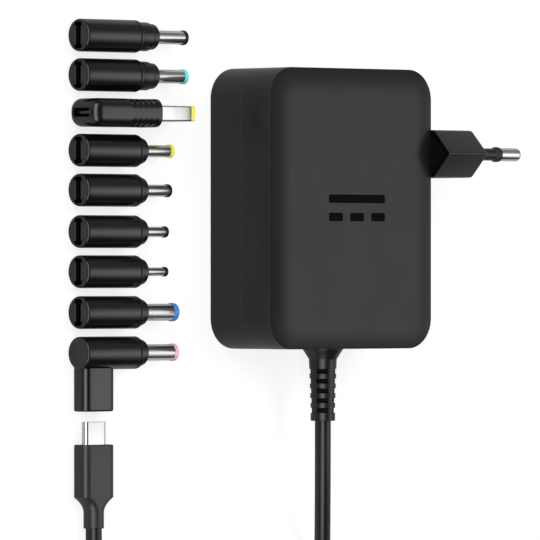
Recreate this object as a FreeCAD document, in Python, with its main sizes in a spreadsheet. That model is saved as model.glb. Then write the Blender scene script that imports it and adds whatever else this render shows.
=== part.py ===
# Wall adapter with a two-pin mains plug, a cord with a small symmetric plug, and nine tips for it.
# Millimetres. The origin is the middle of the case's back face, +X points to the mains pins,
# -Y to the cord's exit and +Z out of the front face. Everything lies on the plane Z = 0.
import FreeCAD
import Part
import Sketcher
import math
import os
from types import SimpleNamespace

V = FreeCAD.Vector
X_AXIS = V(1, 0, 0)
Y_AXIS = V(0, 1, 0)
NEAR = 0.01
EDGE_SHARES = (0.01, 0.5, 0.99)
BEND_SHARE = 0.45
GAP_STEPS = 12
SLOT_TURN = 45

# Driving sizes
SIZES = {
    # Case
    "case_width": 65.0, "case_height": 83.2, "case_depth": 28.0, "corner_radius": 9.0,
    "case_wall": 2.2, "parting_height": 13.6, "back_edge_radius": 0.8,
    "bevel_width": 4.1, "outer_bevel_drop": 1.15, "inner_bevel_drop": 0.45,
    "lip_height": 1.6, "lip_wall": 0.9, "fit": 0.05,
    # Mains plug
    "plug_length": 16.0, "plug_thickness": 14.2, "plug_span": 34.6, "plug_offset": 16.6,
    "plug_base": 0.3, "plug_wall": 1.6, "plug_end_wall": 3.0, "plug_edge_radius": 0.9,
    "pin_pitch": 19.0, "pin_length": 19.0, "pin_radius": 2.0, "pin_core_radius": 1.35,
    "bare_length": 8.0, "sleeve_radius": 1.85, "collar_radius": 2.3, "collar_length": 2.0,
    "pin_seat": 8.6, "carrier_neck_width": 9.0, "carrier_neck_height": 12.0, "carrier_reach": 4.0,
    "strip_thickness": 0.8, "strip_width": 3.0, "strip_level": 3.4, "strip_leg_gap": 1.4,
    # Strain relief and wires
    "cord_radius": 2.4, "cord_axis_height": 14.0, "relief_length": 21.5, "flare_radius": 6.2,
    "flare_length": 3.2, "relief_root_radius": 4.15, "relief_end_radius": 3.6,
    "relief_collar_length": 2.3, "relief_collar_radius": 3.7, "relief_neck_radius": 4.6,
    "relief_flange_radius": 5.4, "relief_flange_length": 2.0, "relief_bore_radius": 1.95,
    "flare_knee_length": 1.6, "flare_knee_radius": 5.1,
    "slot_pitch": 2.9, "slot_height": 1.5, "slot_width": 3.4, "slot_start": 2.8, "slot_rows": 5,
    "wire_radius": 0.8, "wire_offset": 0.9, "wire_reach": 5.0,
    # Board and what stands on it
    "post_height": 3.8, "post_radius": 2.6, "peg_radius": 1.1, "post_inset": 5.5,
    "board_thickness": 1.6, "board_gap": 0.7, "sheet_thickness": 0.4, "part_gap": 1.5,
    "core_width": 24.0, "core_depth": 10.0, "core_height": 15.0, "core_leg": 3.5,
    "core_yoke": 3.0, "core_centre_leg": 6.0, "bobbin_wall": 0.8, "bobbin_flange": 4.6,
    "winding_build": 3.4, "core_place": 5.0,
    "bulk_radius": 6.0, "bulk_length": 15.0, "output_cap_radius": 4.0, "output_cap_length": 13.0,
    "toroid_radius": 6.0, "toroid_thickness": 2.8, "toroid_place": 10.0,
    "film_width": 6.0, "film_length": 15.0, "film_height": 12.0,
    "fuse_radius": 2.4, "fuse_length": 10.0,
    "bridge_gap": 7.0, "bridge_width": 4.0, "bridge_length": 12.0, "bridge_height": 10.0,
    "spreader_thickness": 1.2, "spreader_length": 26.0, "spreader_height": 15.0,
    "pad_thickness": 0.5, "chip_thickness": 4.4, "chip_width": 10.0, "chip_height": 11.0,
    "chip_leg": 0.8, "chip_leg_pitch": 2.5, "chip_leg_height": 2.0,
    "drum_radius": 4.2, "drum_length": 8.0, "drum_gap": 4.5,
    "control_width": 6.0, "control_length": 5.0, "control_height": 1.6,
    # Plug at the cord's far end
    "usb_x": -80.5, "usb_mouth": -62.5, "shell_width": 8.25, "shell_thickness": 2.4,
    "shell_length": 6.65, "shell_seat": 5.0, "shell_wall": 0.25, "housing_width": 12.35,
    "housing_thickness": 6.5, "housing_length": 15.4, "housing_round": 2.6,
    "taper_length": 4.6, "neck_length": 4.5, "neck_radius": 3.2, "neck_end_radius": 3.0,
    "tongue_slot": 0.9, "tongue_slot_width": 6.9, "tongue_slot_depth": 5.2, "insert_recess": 0.4,
    # Socket of a tip
    "socket_width": 8.34, "socket_height": 2.56, "socket_depth": 6.9,
    "tongue_width": 6.6, "tongue_thickness": 0.7, "tongue_recess": 1.2,
    # Straight tips
    "tip_left": -87.8, "tip_radius": 4.8, "tip_length": 21.9, "tip_edge_radius": 1.2,
    "barrel_seat": 4.0, "barrel_flange": 0.4, "barrel_wall": 0.35, "contact_wall": 0.2, "ring_proud": 0.2,
    # Slim tip
    "slim_length": 26.0, "slim_width": 8.3, "slim_height": 12.6, "slim_round": 3.0,
    "slim_nose_radius": 2.6, "slim_edge_radius": 0.5, "slim_shell_width": 4.5, "slim_shell_height": 11.0,
    "slim_shell_length": 11.8, "slim_shell_wall": 0.45, "slim_ring_length": 1.5,
    "slim_pin_radius": 0.5, "slim_pin_recess": 2.0, "ripple_radius": 1.2, "ripple_pitch": 2.1,
    "ripple_count": 5, "ripple_depth": 0.3, "ripple_start": 2.4,
    # Elbow tip
    "leg_width": 12.3, "leg_drop": 12.3, "leg_round": 1.6,
    # Tie round the coil
    "tie_width": 6.0, "tie_thickness": 0.8, "tie_gap": 0.3, "tie_inner_gap": 1.3,
}

# Round barrels: centre line in Y, barrel radius, bore radius, bare barrel, ring, then each collar's
# radius and length
ROUND_TIPS = {
    1: (50.2, 2.0, 0.85, 11.5, 1.2, ((4.25, 4.3), (3.8, 2.2))),
    2: (38.7, 2.0, 0.68, 11.5, 1.2, ((4.25, 4.3), (3.8, 2.2))),
    4: (16.7, 1.75, 0.68, 10.5, 1.2, ((3.85, 2.2),)),
    5: (5.1, 1.75, 0.55, 9.6, 1.2, ((3.85, 2.2),)),
    6: (-7.0, 1.5, 0.55, 8.5, 1.2, ((3.85, 2.2),)),
    7: (-18.7, 1.25, 0.35, 8.5, 1.2, ((3.85, 2.2),)),
    8: (-30.6, 2.5, 1.5, 11.3, 1.6, ((3.85, 2.2),)),
    9: (-42.4, 2.4, 0.85, 11.6, 1.2, ((3.85, 2.2),)),
}
SLIM_TIP = 3
ELBOW_TIP = 9
SLIM_PLACE = 27.7
for number, (middle, radius, bore, bare, ring, collars) in ROUND_TIPS.items():
    SIZES[f"tip_{number}_place"] = middle
    SIZES[f"tip_{number}_barrel_radius"] = radius
    SIZES[f"tip_{number}_bore_radius"] = bore
    SIZES[f"tip_{number}_barrel_length"] = bare
    SIZES[f"tip_{number}_ring_length"] = ring
    for step, (collar_radius, collar_length) in enumerate(collars, 1):
        SIZES[f"tip_{number}_collar_{step}_radius"] = collar_radius
        SIZES[f"tip_{number}_collar_{step}_length"] = collar_length
SIZES["slim_place"] = SLIM_PLACE

# The cord's free stretches, as points chosen by hand
CORD_ROUTE = [(0, -63.1, 14), (0, -74.5, 14), (3.9, -90, 9.6), (8.8, -106, 4.0),
              (10.2, -122, 2.4), (2.1, -143, 3.0), (2.1, -154, 3.2)]
TAIL_ROUTE = [(-72.15, -154, 8.5), (-72.15, -143.5, 8.7), (-74.2, -133, 8.7),
              (-78.0, -120.5, 5.6), (-80.5, -107, 3.25), (-80.5, -93.65, 3.25)]
COIL_CENTRE = (-39.0, -154.0)
COIL_START = 41.1
COIL_PITCH = 5.3
COIL_TURNS_IN = 4


class Size:
    """A length that knows its expression and its value, so that sums of sizes stay bound to the sheet."""

    def __init__(self, text, value):
        self.text = text
        self.value = value

    @staticmethod
    def of(other):
        return other if isinstance(other, Size) else Size(f"({other:.10g})", other)

    def __add__(self, other):
        other = Size.of(other)
        return Size(f"({self.text} + {other.text})", self.value + other.value)

    def __sub__(self, other):
        other = Size.of(other)
        return Size(f"({self.text} - {other.text})", self.value - other.value)

    def __mul__(self, other):
        other = Size.of(other)
        return Size(f"({self.text} * {other.text})", self.value * other.value)

    def __truediv__(self, other):
        other = Size.of(other)
        return Size(f"({self.text} / {other.text})", self.value / other.value)

    def __neg__(self):
        return Size(f"(0 - {self.text})", -self.value)

    __radd__ = __add__
    __rmul__ = __mul__

    def __rsub__(self, other):
        return Size.of(other) - self


doc = FreeCAD.newDocument("Adapter")
sheet = doc.addObject("Spreadsheet::Sheet", "Sizes")
for row, (alias, value) in enumerate(SIZES.items(), 1):
    sheet.set(f"A{row}", alias)
    sheet.set(f"B{row}", str(value))
    sheet.setAlias(f"B{row}", alias)
doc.recompute()
size = SimpleNamespace(**{alias: Size(f"Sizes.{alias}", sheet.get(alias)) for alias in SIZES})
ZERO = Size.of(0)
subparts = []


def keep(item, label):
    """Label an object as a sub-part that gets a file of its own."""
    item.Label = label
    subparts.append(item)
    return item


def bind(item, **values):
    """Bind properties to sizes. A double underscore stands for a point in the property's path."""
    for name, value in values.items():
        item.setExpression(name.replace("__", "."), Size.of(value).text)
    return item


def place(item, x=0, y=0, z=0):
    return bind(item, Placement__Base__x=x, Placement__Base__y=y, Placement__Base__z=z)


# Sketches and features of a body

def new_body(name):
    return doc.addObject("PartDesign::Body", name)


def new_sketch(body, plane, offset=0):
    """A sketch on one of the body's origin planes, moved along the plane's normal."""
    sketch = body.newObject("Sketcher::SketchObject", f"{body.Name}_sketch")
    support = next(item for item in body.Origin.OriginFeatures if item.Role == plane)
    sketch.AttachmentSupport = (support, [""])
    sketch.MapMode = "FlatFace"
    return bind(sketch, AttachmentOffset__Base__z=offset)


def pin_point(sketch, geometry, vertex, x, y):
    """Hold a point of the sketch at x, y from the sketch's origin."""
    for kind, value in (("DistanceX", Size.of(x)), ("DistanceY", Size.of(y))):
        index = sketch.addConstraint(Sketcher.Constraint(kind, -1, 1, geometry, vertex, value.value))
        sketch.setExpression(f"Constraints[{index}]", value.text)


def pin_radius(sketch, geometry, radius):
    radius = Size.of(radius)
    index = sketch.addConstraint(Sketcher.Constraint("Radius", geometry, radius.value))
    sketch.setExpression(f"Constraints[{index}]", radius.text)


def polygon(sketch, points):
    """A closed outline of straight lines through the points."""
    corners = [(Size.of(x), Size.of(y)) for x, y in points]
    first = sketch.GeometryCount
    count = len(corners)
    for i, (x, y) in enumerate(corners):
        to_x, to_y = corners[(i + 1) % count]
        sketch.addGeometry(Part.LineSegment(V(x.value, y.value, 0), V(to_x.value, to_y.value, 0)))
    for i in range(count):
        sketch.addConstraint(Sketcher.Constraint("Coincident", first + i, 2, first + (i + 1) % count, 1))
    for i, (x, y) in enumerate(corners):
        pin_point(sketch, first + i, 1, x, y)
    return sketch


def box_outline(sketch, x0, x1, y0, y1):
    return polygon(sketch, ((x0, y0), (x1, y0), (x1, y1), (x0, y1)))


def circle(sketch, x, y, radius):
    x, y, radius = Size.of(x), Size.of(y), Size.of(radius)
    index = sketch.addGeometry(Part.Circle(V(x.value, y.value, 0), V(0, 0, 1), radius.value))
    pin_point(sketch, index, 3, x, y)
    pin_radius(sketch, index, radius)
    return sketch


def rounded_outline(sketch, centres, radius):
    """A closed outline of one arc round each centre, in order and anticlockwise, joined by tangent lines."""
    radius = Size.of(radius)
    centres = [(Size.of(x), Size.of(y)) for x, y in centres]
    count = len(centres)
    corners = [V(x.value, y.value, 0) for x, y in centres]
    headings = []
    for i in range(count):
        way = corners[(i + 1) % count] - corners[i]
        headings.append(math.atan2(way.y, way.x))
    first = sketch.GeometryCount
    for i, corner in enumerate(corners):
        start = headings[i - 1] - math.pi / 2
        end = headings[i] - math.pi / 2
        sketch.addGeometry(Part.ArcOfCircle(Part.Circle(corner, V(0, 0, 1), radius.value), start, end))
        side = V(math.cos(end), math.sin(end), 0) * radius.value
        sketch.addGeometry(Part.LineSegment(corner + side, corners[(i + 1) % count] + side))
    for i in range(count):
        arc, line, after = first + 2 * i, first + 2 * i + 1, first + (2 * i + 2) % (2 * count)
        sketch.addConstraint(Sketcher.Constraint("Tangent", arc, 2, line, 1))
        sketch.addConstraint(Sketcher.Constraint("Tangent", line, 2, after, 1))
    for i, (x, y) in enumerate(centres):
        pin_point(sketch, first + 2 * i, 3, x, y)
        pin_radius(sketch, first + 2 * i, radius)
    return sketch


def rounded_box(sketch, half_x, half_y, radius, x=0, y=0):
    """A rectangle with rounded corners about x, y."""
    dx, dy = half_x - radius, half_y - radius
    return rounded_outline(sketch, ((x - dx, y - dy), (x + dx, y - dy), (x + dx, y + dy), (x - dx, y + dy)),
                           radius)


def slot_outline(sketch, width, height, x=0, y=0, upright=False):
    """A slot with round ends about x, y, lying along the sketch's first axis, or upright."""
    radius = height / 2
    reach = width / 2 - radius
    ends = ((x, y - reach), (x, y + reach)) if upright else ((x - reach, y), (x + reach, y))
    return rounded_outline(sketch, ends, radius)


def extrude(body, kind, sketch, length, reverse=False):
    feature = body.newObject(f"PartDesign::{kind}", f"{body.Name}_{kind.lower()}")
    feature.Profile = sketch
    feature.Reversed = reverse
    return bind(feature, Length=length)


def pad(body, sketch, length, reverse=False):
    return extrude(body, "Pad", sketch, length, reverse)


def pocket(body, sketch, length, reverse=False):
    """Cut along the sketch's normal if reverse, and against it otherwise."""
    return extrude(body, "Pocket", sketch, length, reverse)


def revolve(body, sketch):
    """Turn the sketch round its own first axis."""
    feature = body.newObject("PartDesign::Revolution", f"{body.Name}_turned")
    feature.Profile = sketch
    feature.ReferenceAxis = (sketch, ["H_Axis"])
    feature.Angle = 360
    return feature


def edges_where(feature, test):
    """Names of the feature's edges whose points all pass the test."""
    doc.recompute()
    names = []
    for number, edge in enumerate(feature.Shape.Edges, 1):
        span = edge.LastParameter - edge.FirstParameter
        points = [edge.valueAt(edge.FirstParameter + span * share) for share in EDGE_SHARES]
        if all(test(point) for point in points):
            names.append(f"Edge{number}")
    return names


def fillet(body, feature, test, radius):
    rounding = body.newObject("PartDesign::Fillet", f"{body.Name}_fillet")
    rounding.Base = (feature, edges_where(feature, test))
    return bind(rounding, Radius=radius)


def loft(body, start, end):
    """Straight-ruled walls from one closed outline to another."""
    feature = body.newObject("PartDesign::AdditiveLoft", f"{body.Name}_loft")
    feature.Profile = start
    feature.Sections = [end]
    feature.Ruled = True
    return feature


def near(value, target):
    return abs(value - Size.of(target).value) < NEAR


# Primitives and booleans

def block(name, x0, x1, y0, y1, z0, z1):
    item = doc.addObject("Part::Box", name)
    bind(item, Length=Size.of(x1) - x0, Width=Size.of(y1) - y0, Height=Size.of(z1) - z0)
    return place(item, x0, y0, z0)


def rod(name, radius, length, x, y, z, axis=None):
    """A cylinder that starts at x, y, z and runs along an axis, upwards if none is given."""
    item = doc.addObject("Part::Cylinder", name)
    bind(item, Radius=radius, Height=length)
    if axis is not None:
        item.Placement.Rotation = FreeCAD.Rotation(V(0, 0, 1), axis)
    return place(item, x, y, z)


def joined(name, items):
    fused = doc.addObject("Part::MultiFuse", name)
    fused.Shapes = items
    return fused


def grouped(name, items):
    group = doc.addObject("Part::Compound", name)
    group.Links = items
    return group


def cut_away(name, base, tool):
    result = doc.addObject("Part::Cut", name)
    result.Base = base
    result.Tool = tool
    return result


# Places that several pieces share
half_width = size.case_width / 2
half_height = size.case_height / 2
inner_width = half_width - size.case_wall
inner_height = half_height - size.case_wall
inner_radius = size.corner_radius - size.case_wall
ceiling = size.case_depth - size.case_wall
board_base = size.case_wall + size.post_height
board_top = board_base + size.board_thickness
board_x = inner_width - size.board_gap
board_y = inner_height - size.board_gap
post_x = board_x - size.post_inset
post_y = board_y - size.post_inset
plug_z = size.plug_base + size.plug_span / 2
plug_half = size.plug_thickness / 2
plug_end = half_width + size.plug_length
pin_back = half_width + size.pin_seat - size.plug_wall
relief_end = half_height + size.relief_length
usb_z = size.housing_thickness / 2


# Case

def build_front_shell():
    """The front half, whose face falls away to a crease in two bevels that follow the outline."""
    body = new_body("front_blank")
    crease = size.case_depth - size.outer_bevel_drop - size.inner_bevel_drop
    knee = size.case_depth - size.inner_bevel_drop

    def outline(level, inset):
        return rounded_box(new_sketch(body, "XY_Plane", level), half_width - inset, half_height - inset,
                           size.corner_radius - inset)

    pad(body, outline(size.parting_height, ZERO), crease - size.parting_height)
    loft(body, outline(crease, ZERO), outline(knee, size.bevel_width))
    loft(body, outline(knee, size.bevel_width), outline(size.case_depth, size.bevel_width * 2))
    hollow = new_sketch(body, "XY_Plane", size.parting_height)
    pocket(body, rounded_box(hollow, inner_width, inner_height, inner_radius), ceiling - size.parting_height,
           reverse=True)
    lip = new_sketch(body, "XY_Plane", size.parting_height)
    rounded_box(lip, inner_width + size.lip_wall, inner_height + size.lip_wall, inner_radius + size.lip_wall)
    rounded_box(lip, inner_width, inner_height, inner_radius)
    pad(body, lip, size.lip_height, reverse=True)
    return cut_away("front_case", body, case_openings("front"))


def build_rear_shell():
    body = new_body("rear_blank")
    slab = pad(body, box_outline(new_sketch(body, "XY_Plane"), -half_width, half_width,
                                 -half_height, half_height), size.parting_height)
    sides = fillet(body, slab, lambda p: near(abs(p.x), half_width) and near(abs(p.y), half_height),
                   size.corner_radius)
    fillet(body, sides, lambda p: near(p.z, 0), size.back_edge_radius)
    hollow = new_sketch(body, "XY_Plane", size.case_wall)
    pocket(body, rounded_box(hollow, inner_width, inner_height, inner_radius),
           size.parting_height - size.case_wall, reverse=True)
    rebate = new_sketch(body, "XY_Plane", size.parting_height)
    margin = size.lip_wall + size.fit
    rounded_box(rebate, inner_width + margin, inner_height + margin, inner_radius + margin)
    pocket(body, rebate, size.lip_height + size.fit)
    posts = new_sketch(body, "XY_Plane", size.case_wall)
    pegs = new_sketch(body, "XY_Plane", size.case_wall)
    for side in (-1, 1):
        for end in (-1, 1):
            circle(posts, post_x * side, post_y * end, size.post_radius)
            circle(pegs, post_x * side, post_y * end, size.peg_radius)
    pad(body, posts, size.post_height)
    pad(body, pegs, size.post_height + size.board_thickness)
    return cut_away("rear_case", body, case_openings("rear"))


def case_openings(name):
    """The round hole for the strain relief and the window for the neck of the contact carrier."""
    hole = rod(f"{name}_cord_hole", size.relief_neck_radius + size.fit, size.case_wall * 2,
               0, -half_height - size.case_wall / 2, size.cord_axis_height, Y_AXIS)
    reach = size.carrier_neck_height / 2 + size.fit
    side = size.carrier_neck_width / 2 + size.fit
    middle = size.case_depth / 2
    window = block(f"{name}_window", inner_width - size.case_wall / 2, half_width + size.case_wall / 2,
                   size.plug_offset - side, size.plug_offset + side, middle - reach, middle + reach)
    return joined(f"{name}_openings", [hole, window])


# Mains plug

def hexagon(sketch, inset):
    """The plug's section with pointed ends at 45 degrees, drawn in by the inset all round."""
    across = plug_half - inset
    shoulder = size.plug_span / 2 - plug_half - inset * (math.sqrt(2) - 1)
    point = size.plug_span / 2 - inset * math.sqrt(2)
    y, z = size.plug_offset, plug_z
    return polygon(sketch, ((y, z - point), (y + across, z - shoulder), (y + across, z + shoulder),
                            (y, z + point), (y - across, z + shoulder), (y - across, z - shoulder)))


def pin_places():
    return (plug_z - size.pin_pitch / 2, plug_z + size.pin_pitch / 2)


def pin_holes(body, start, radius, depth, reverse):
    sketch = new_sketch(body, "YZ_Plane", start)
    for z in pin_places():
        circle(sketch, size.plug_offset, z, radius)
    return pocket(body, sketch, depth, reverse)


def build_plug_body():
    body = new_body("plug_case")
    prism = pad(body, hexagon(new_sketch(body, "YZ_Plane", half_width), ZERO), size.plug_length)
    fillet(body, prism, lambda p: near(p.x, plug_end), size.plug_edge_radius)
    pocket(body, hexagon(new_sketch(body, "YZ_Plane", half_width), size.plug_wall),
           size.plug_length - size.plug_end_wall, reverse=True)
    pin_holes(body, plug_end, size.sleeve_radius + size.fit, size.plug_end_wall * 2, False)
    return body


def strip_boxes(name, grow):
    """Two brass strips, each from the back of a pin through the neck of the carrier down to the board."""
    strips = []
    middle = size.case_depth / 2
    y0 = size.plug_offset - size.strip_width / 2 - grow
    y1 = size.plug_offset + size.strip_width / 2 + grow
    thick = size.strip_thickness
    foot = inner_width - size.carrier_reach - size.strip_leg_gap
    jog = pin_back - thick
    for index, (pin_z, way) in enumerate(zip(pin_places(), (-1, 1))):
        level = middle + size.strip_level * way
        leg = foot - (size.strip_leg_gap + thick) * index
        low, high = (pin_z, level) if way < 0 else (level, pin_z)
        parts = [
            block(f"{name}_jog", jog - grow, jog + thick + grow, y0, y1,
                  low - size.pin_core_radius - grow, high + size.pin_core_radius + grow),
            block(f"{name}_run", leg, jog + grow, y0, y1, level - thick / 2 - grow, level + thick / 2 + grow),
            block(f"{name}_leg", leg, leg + thick, y0, y1, board_top, level + thick / 2),
        ]
        strips.append(joined(f"{name}_strip", parts))
    return strips


def build_contact_carrier():
    body = new_body("carrier_blank")
    pad(body, hexagon(new_sketch(body, "YZ_Plane", half_width), size.plug_wall + size.fit),
        size.plug_length - size.plug_end_wall - size.fit)
    neck = new_sketch(body, "YZ_Plane", half_width)
    side, reach = size.carrier_neck_width / 2, size.carrier_neck_height / 2
    box_outline(neck, size.plug_offset - side, size.plug_offset + side,
                size.case_depth / 2 - reach, size.case_depth / 2 + reach)
    pad(body, neck, size.case_wall + size.carrier_reach, reverse=True)
    pin_holes(body, pin_back, size.pin_core_radius + size.fit, size.plug_length, True)
    return cut_away("carrier_slotted", body, joined("carrier_slots", strip_boxes("slot", size.fit)))


def turned_x(name, points, x, y, z):
    """A solid turned about a line along X, from points of distance along it and radius."""
    body = new_body(name)
    revolve(body, polygon(new_sketch(body, "XY_Plane"), points))
    return place(body, x, y, z)


def build_pins():
    pins, sleeves = [], []
    sleeve = size.pin_length - size.bare_length
    start = plug_end - size.plug_end_wall - pin_back
    for z in pin_places():
        tip = plug_end - pin_back + size.pin_length
        bare = tip - size.bare_length
        nose = size.pin_radius / 2
        pins.append(turned_x("mains_pin", (
            (0, 0), (tip, 0), (tip, nose), (tip - nose, size.pin_radius), (bare, size.pin_radius),
            (bare, size.pin_core_radius), (0, size.pin_core_radius)), pin_back, size.plug_offset, z))
        end = plug_end - pin_back + sleeve
        inner = size.pin_core_radius + size.fit
        collar = end - size.collar_length
        sleeves.append(turned_x("pin_sleeve", (
            (start, inner), (end, inner), (end, size.collar_radius), (collar, size.collar_radius),
            (collar, size.sleeve_radius), (start, size.sleeve_radius)), pin_back, size.plug_offset, z))
    return grouped("pins", pins), grouped("sleeves", sleeves)


# Strain relief

def build_strain_relief():
    """A boot turned about the cord's axis, with rows of slots down to its core on four diagonals."""
    body = new_body("relief_blank")
    inside = size.case_wall + size.fit
    flare_end = size.flare_length
    collar = size.relief_length - size.relief_collar_length
    bore = size.relief_bore_radius
    profile = ((-inside - size.relief_flange_length, bore), (size.relief_length, bore),
               (size.relief_length, size.relief_collar_radius), (collar, size.relief_collar_radius),
               (collar, size.relief_end_radius), (flare_end, size.relief_root_radius),
               (size.flare_knee_length, size.flare_knee_radius),
               (0, size.flare_radius), (0, size.relief_neck_radius),
               (-inside, size.relief_neck_radius), (-inside, size.relief_flange_radius),
               (-inside - size.relief_flange_length, size.relief_flange_radius))
    revolve(body, polygon(new_sketch(body, "XY_Plane"), profile))
    place(body, 0, -half_height, size.cord_axis_height)
    body.Placement.Rotation = FreeCAD.Rotation(V(0, 0, 1), -90)
    cutters = []
    wide = size.slot_width / 2
    core = size.cord_radius
    reach = size.flare_radius
    for index in range(int(size.slot_rows.value)):
        start = -half_height - size.flare_length - size.slot_start - size.slot_pitch * index
        for low, high in ((core, reach), (-reach, -core)):
            cutters.append(block("slot_front", -wide, wide, start - size.slot_height, start, low, high))
            cutters.append(block("slot_side", low, high, start - size.slot_height, start, -wide, wide))
    slots = place(joined("relief_slots", cutters), 0, 0, size.cord_axis_height)
    slots.Placement.Rotation = FreeCAD.Rotation(V(0, 1, 0), SLOT_TURN)
    return cut_away("relief_slotted", body, slots)


# Tubes along a route

def rounded_path(points):
    """Straight runs joined by tangent arcs, each as large as its two runs allow, and the arcs' radii."""
    corners = [V(*point) for point in points]
    edges, radii = [], []
    last = corners[0]
    for before, corner, after in zip(corners, corners[1:], corners[2:]):
        back, ahead = before - corner, after - corner
        reach = BEND_SHARE * min(back.Length, ahead.Length)
        half_turn = (math.pi - back.getAngle(ahead)) / 2
        radii.append(reach / math.tan(half_turn))
        back.normalize()
        ahead.normalize()
        start, end = corner + back * reach, corner + ahead * reach
        inward = back + ahead
        inward.normalize()
        depth = radii[-1] / math.cos(half_turn) - radii[-1]
        edges.append(Part.LineSegment(last, start).toShape())
        edges.append(Part.Arc(start, corner + inward * depth, end).toShape())
        last = end
    edges.append(Part.LineSegment(last, corners[-1]).toShape())
    return Part.Wire(edges), radii


def tube_along(path, radius):
    start = path.Edges[0]
    heading = start.tangentAt(start.FirstParameter)
    section = Part.Wire([Part.Circle(start.valueAt(start.FirstParameter), heading, radius).toShape()])
    return path.makePipeShell([section], True, False)


def tube(label, points, radius):
    path, radii = rounded_path(points)
    solid = tube_along(path, radius)
    print(label, "radii", " ".join(f"{value:.1f}" for value in radii), f"length {path.Length:.1f}",
          f"volume over section times length {solid.Volume / (math.pi * radius ** 2 * path.Length):.4f}")
    feature = doc.addObject("Part::Feature", label)
    feature.Shape = solid
    return feature


def coil_stations(layers):
    """Points where the turns cross the line through the coil's middle, spiralling in and then out above."""
    low, high = layers
    right = [COIL_START - COIL_PITCH * k for k in range(COIL_TURNS_IN + 1)]
    left = [COIL_PITCH / 2 - COIL_START + COIL_PITCH * k for k in range(COIL_TURNS_IN + 1)]
    stations = []
    for k in range(COIL_TURNS_IN):
        stations += [(right[k], low), (left[k], low)]
    stations += [(right[COIL_TURNS_IN], low), (left[COIL_TURNS_IN], high)]
    for k in range(COIL_TURNS_IN - 1, 0, -1):
        stations += [(right[k], high), (left[k], high)]
    return stations


def half_turn(start, end, heading):
    """A half turn as two quarter arcs, also where the end lies higher than the start."""
    middle = (start + end) / 2
    radius = (end - start).Length / 2
    top = middle + heading * radius
    arcs = []
    for a, b in ((start, top), (top, end)):
        between = (a - middle) + (b - middle)
        between.normalize()
        arcs.append(Part.Arc(a, middle + between * radius, b).toShape())
    return arcs


def build_coil():
    radius = size.cord_radius.value
    low = size.tie_thickness.value + radius
    stations = [V(COIL_CENTRE[0] + x, COIL_CENTRE[1], z) for x, z in coil_stations((low, low + COIL_PITCH))]
    edges = []
    for index, (start, end) in enumerate(zip(stations, stations[1:])):
        edges += half_turn(start, end, V(0, -1 if index % 2 == 0 else 1, 0))
    path = Part.Wire(edges)
    feature = doc.addObject("Part::Feature", "coil_tube")
    feature.Shape = tube_along(path, radius)
    share = feature.Shape.Volume / (math.pi * radius ** 2 * path.Length)
    print(f"coil length {path.Length:.1f}, least gap to itself {least_gap(path) - 2 * radius:.2f}",
          f"volume over section times length {share:.4f}")
    return feature


def least_gap(path):
    """The least distance between points of the path that lie over half a turn apart along it."""
    points = []
    for edge in path.Edges:
        span = edge.LastParameter - edge.FirstParameter
        points += [edge.valueAt(edge.FirstParameter + span * i / GAP_STEPS) for i in range(GAP_STEPS)]
    apart = GAP_STEPS * 2
    return min(points[i].distanceToPoint(points[j])
               for i in range(len(points)) for j in range(i + apart, len(points)))


def build_cord_tie():
    """A strap round both layers of the coil, where they lie above each other."""
    inner = COIL_START - COIL_PITCH * (COIL_TURNS_IN - 0.25) - size.cord_radius - size.tie_inner_gap
    outer = COIL_START - COIL_PITCH * 0.75 + size.cord_radius + size.tie_gap
    tall = size.cord_radius * 2 + COIL_PITCH + size.tie_gap
    body = new_body("tie")
    sketch = new_sketch(body, "YZ_Plane", COIL_CENTRE[0] + COIL_PITCH / 4 - size.tie_width / 2)
    half_y, half_z = (outer - inner) / 2, tall / 2
    y = COIL_CENTRE[1] + (inner + outer) / 2
    z = size.tie_thickness + half_z
    rounded_box(sketch, half_y + size.tie_thickness, half_z + size.tie_thickness,
                size.tie_thickness * 2, y, z)
    rounded_box(sketch, half_y, half_z, size.tie_thickness, y, z)
    pad(body, sketch, size.tie_width)
    return body


# Inside the case

def build_board():
    body = new_body("board")
    outline = new_sketch(body, "XY_Plane", board_base)
    pad(body, rounded_box(outline, board_x, board_y, inner_radius - size.board_gap), size.board_thickness)
    holes = new_sketch(body, "XY_Plane", board_top)
    for side in (-1, 1):
        for end in (-1, 1):
            circle(holes, post_x * side, post_y * end, size.peg_radius + size.fit)
    pocket(body, holes, size.board_thickness * 2)
    return body


def build_insulating_sheet():
    body = new_body("sheet")
    outline = new_sketch(body, "XY_Plane", size.case_wall)
    rounded_box(outline, board_x, board_y, inner_radius - size.board_gap)
    for side in (-1, 1):
        for end in (-1, 1):
            circle(outline, post_x * side, post_y * end, size.post_radius + size.fit)
    pad(body, outline, size.sheet_thickness)
    return body


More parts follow.
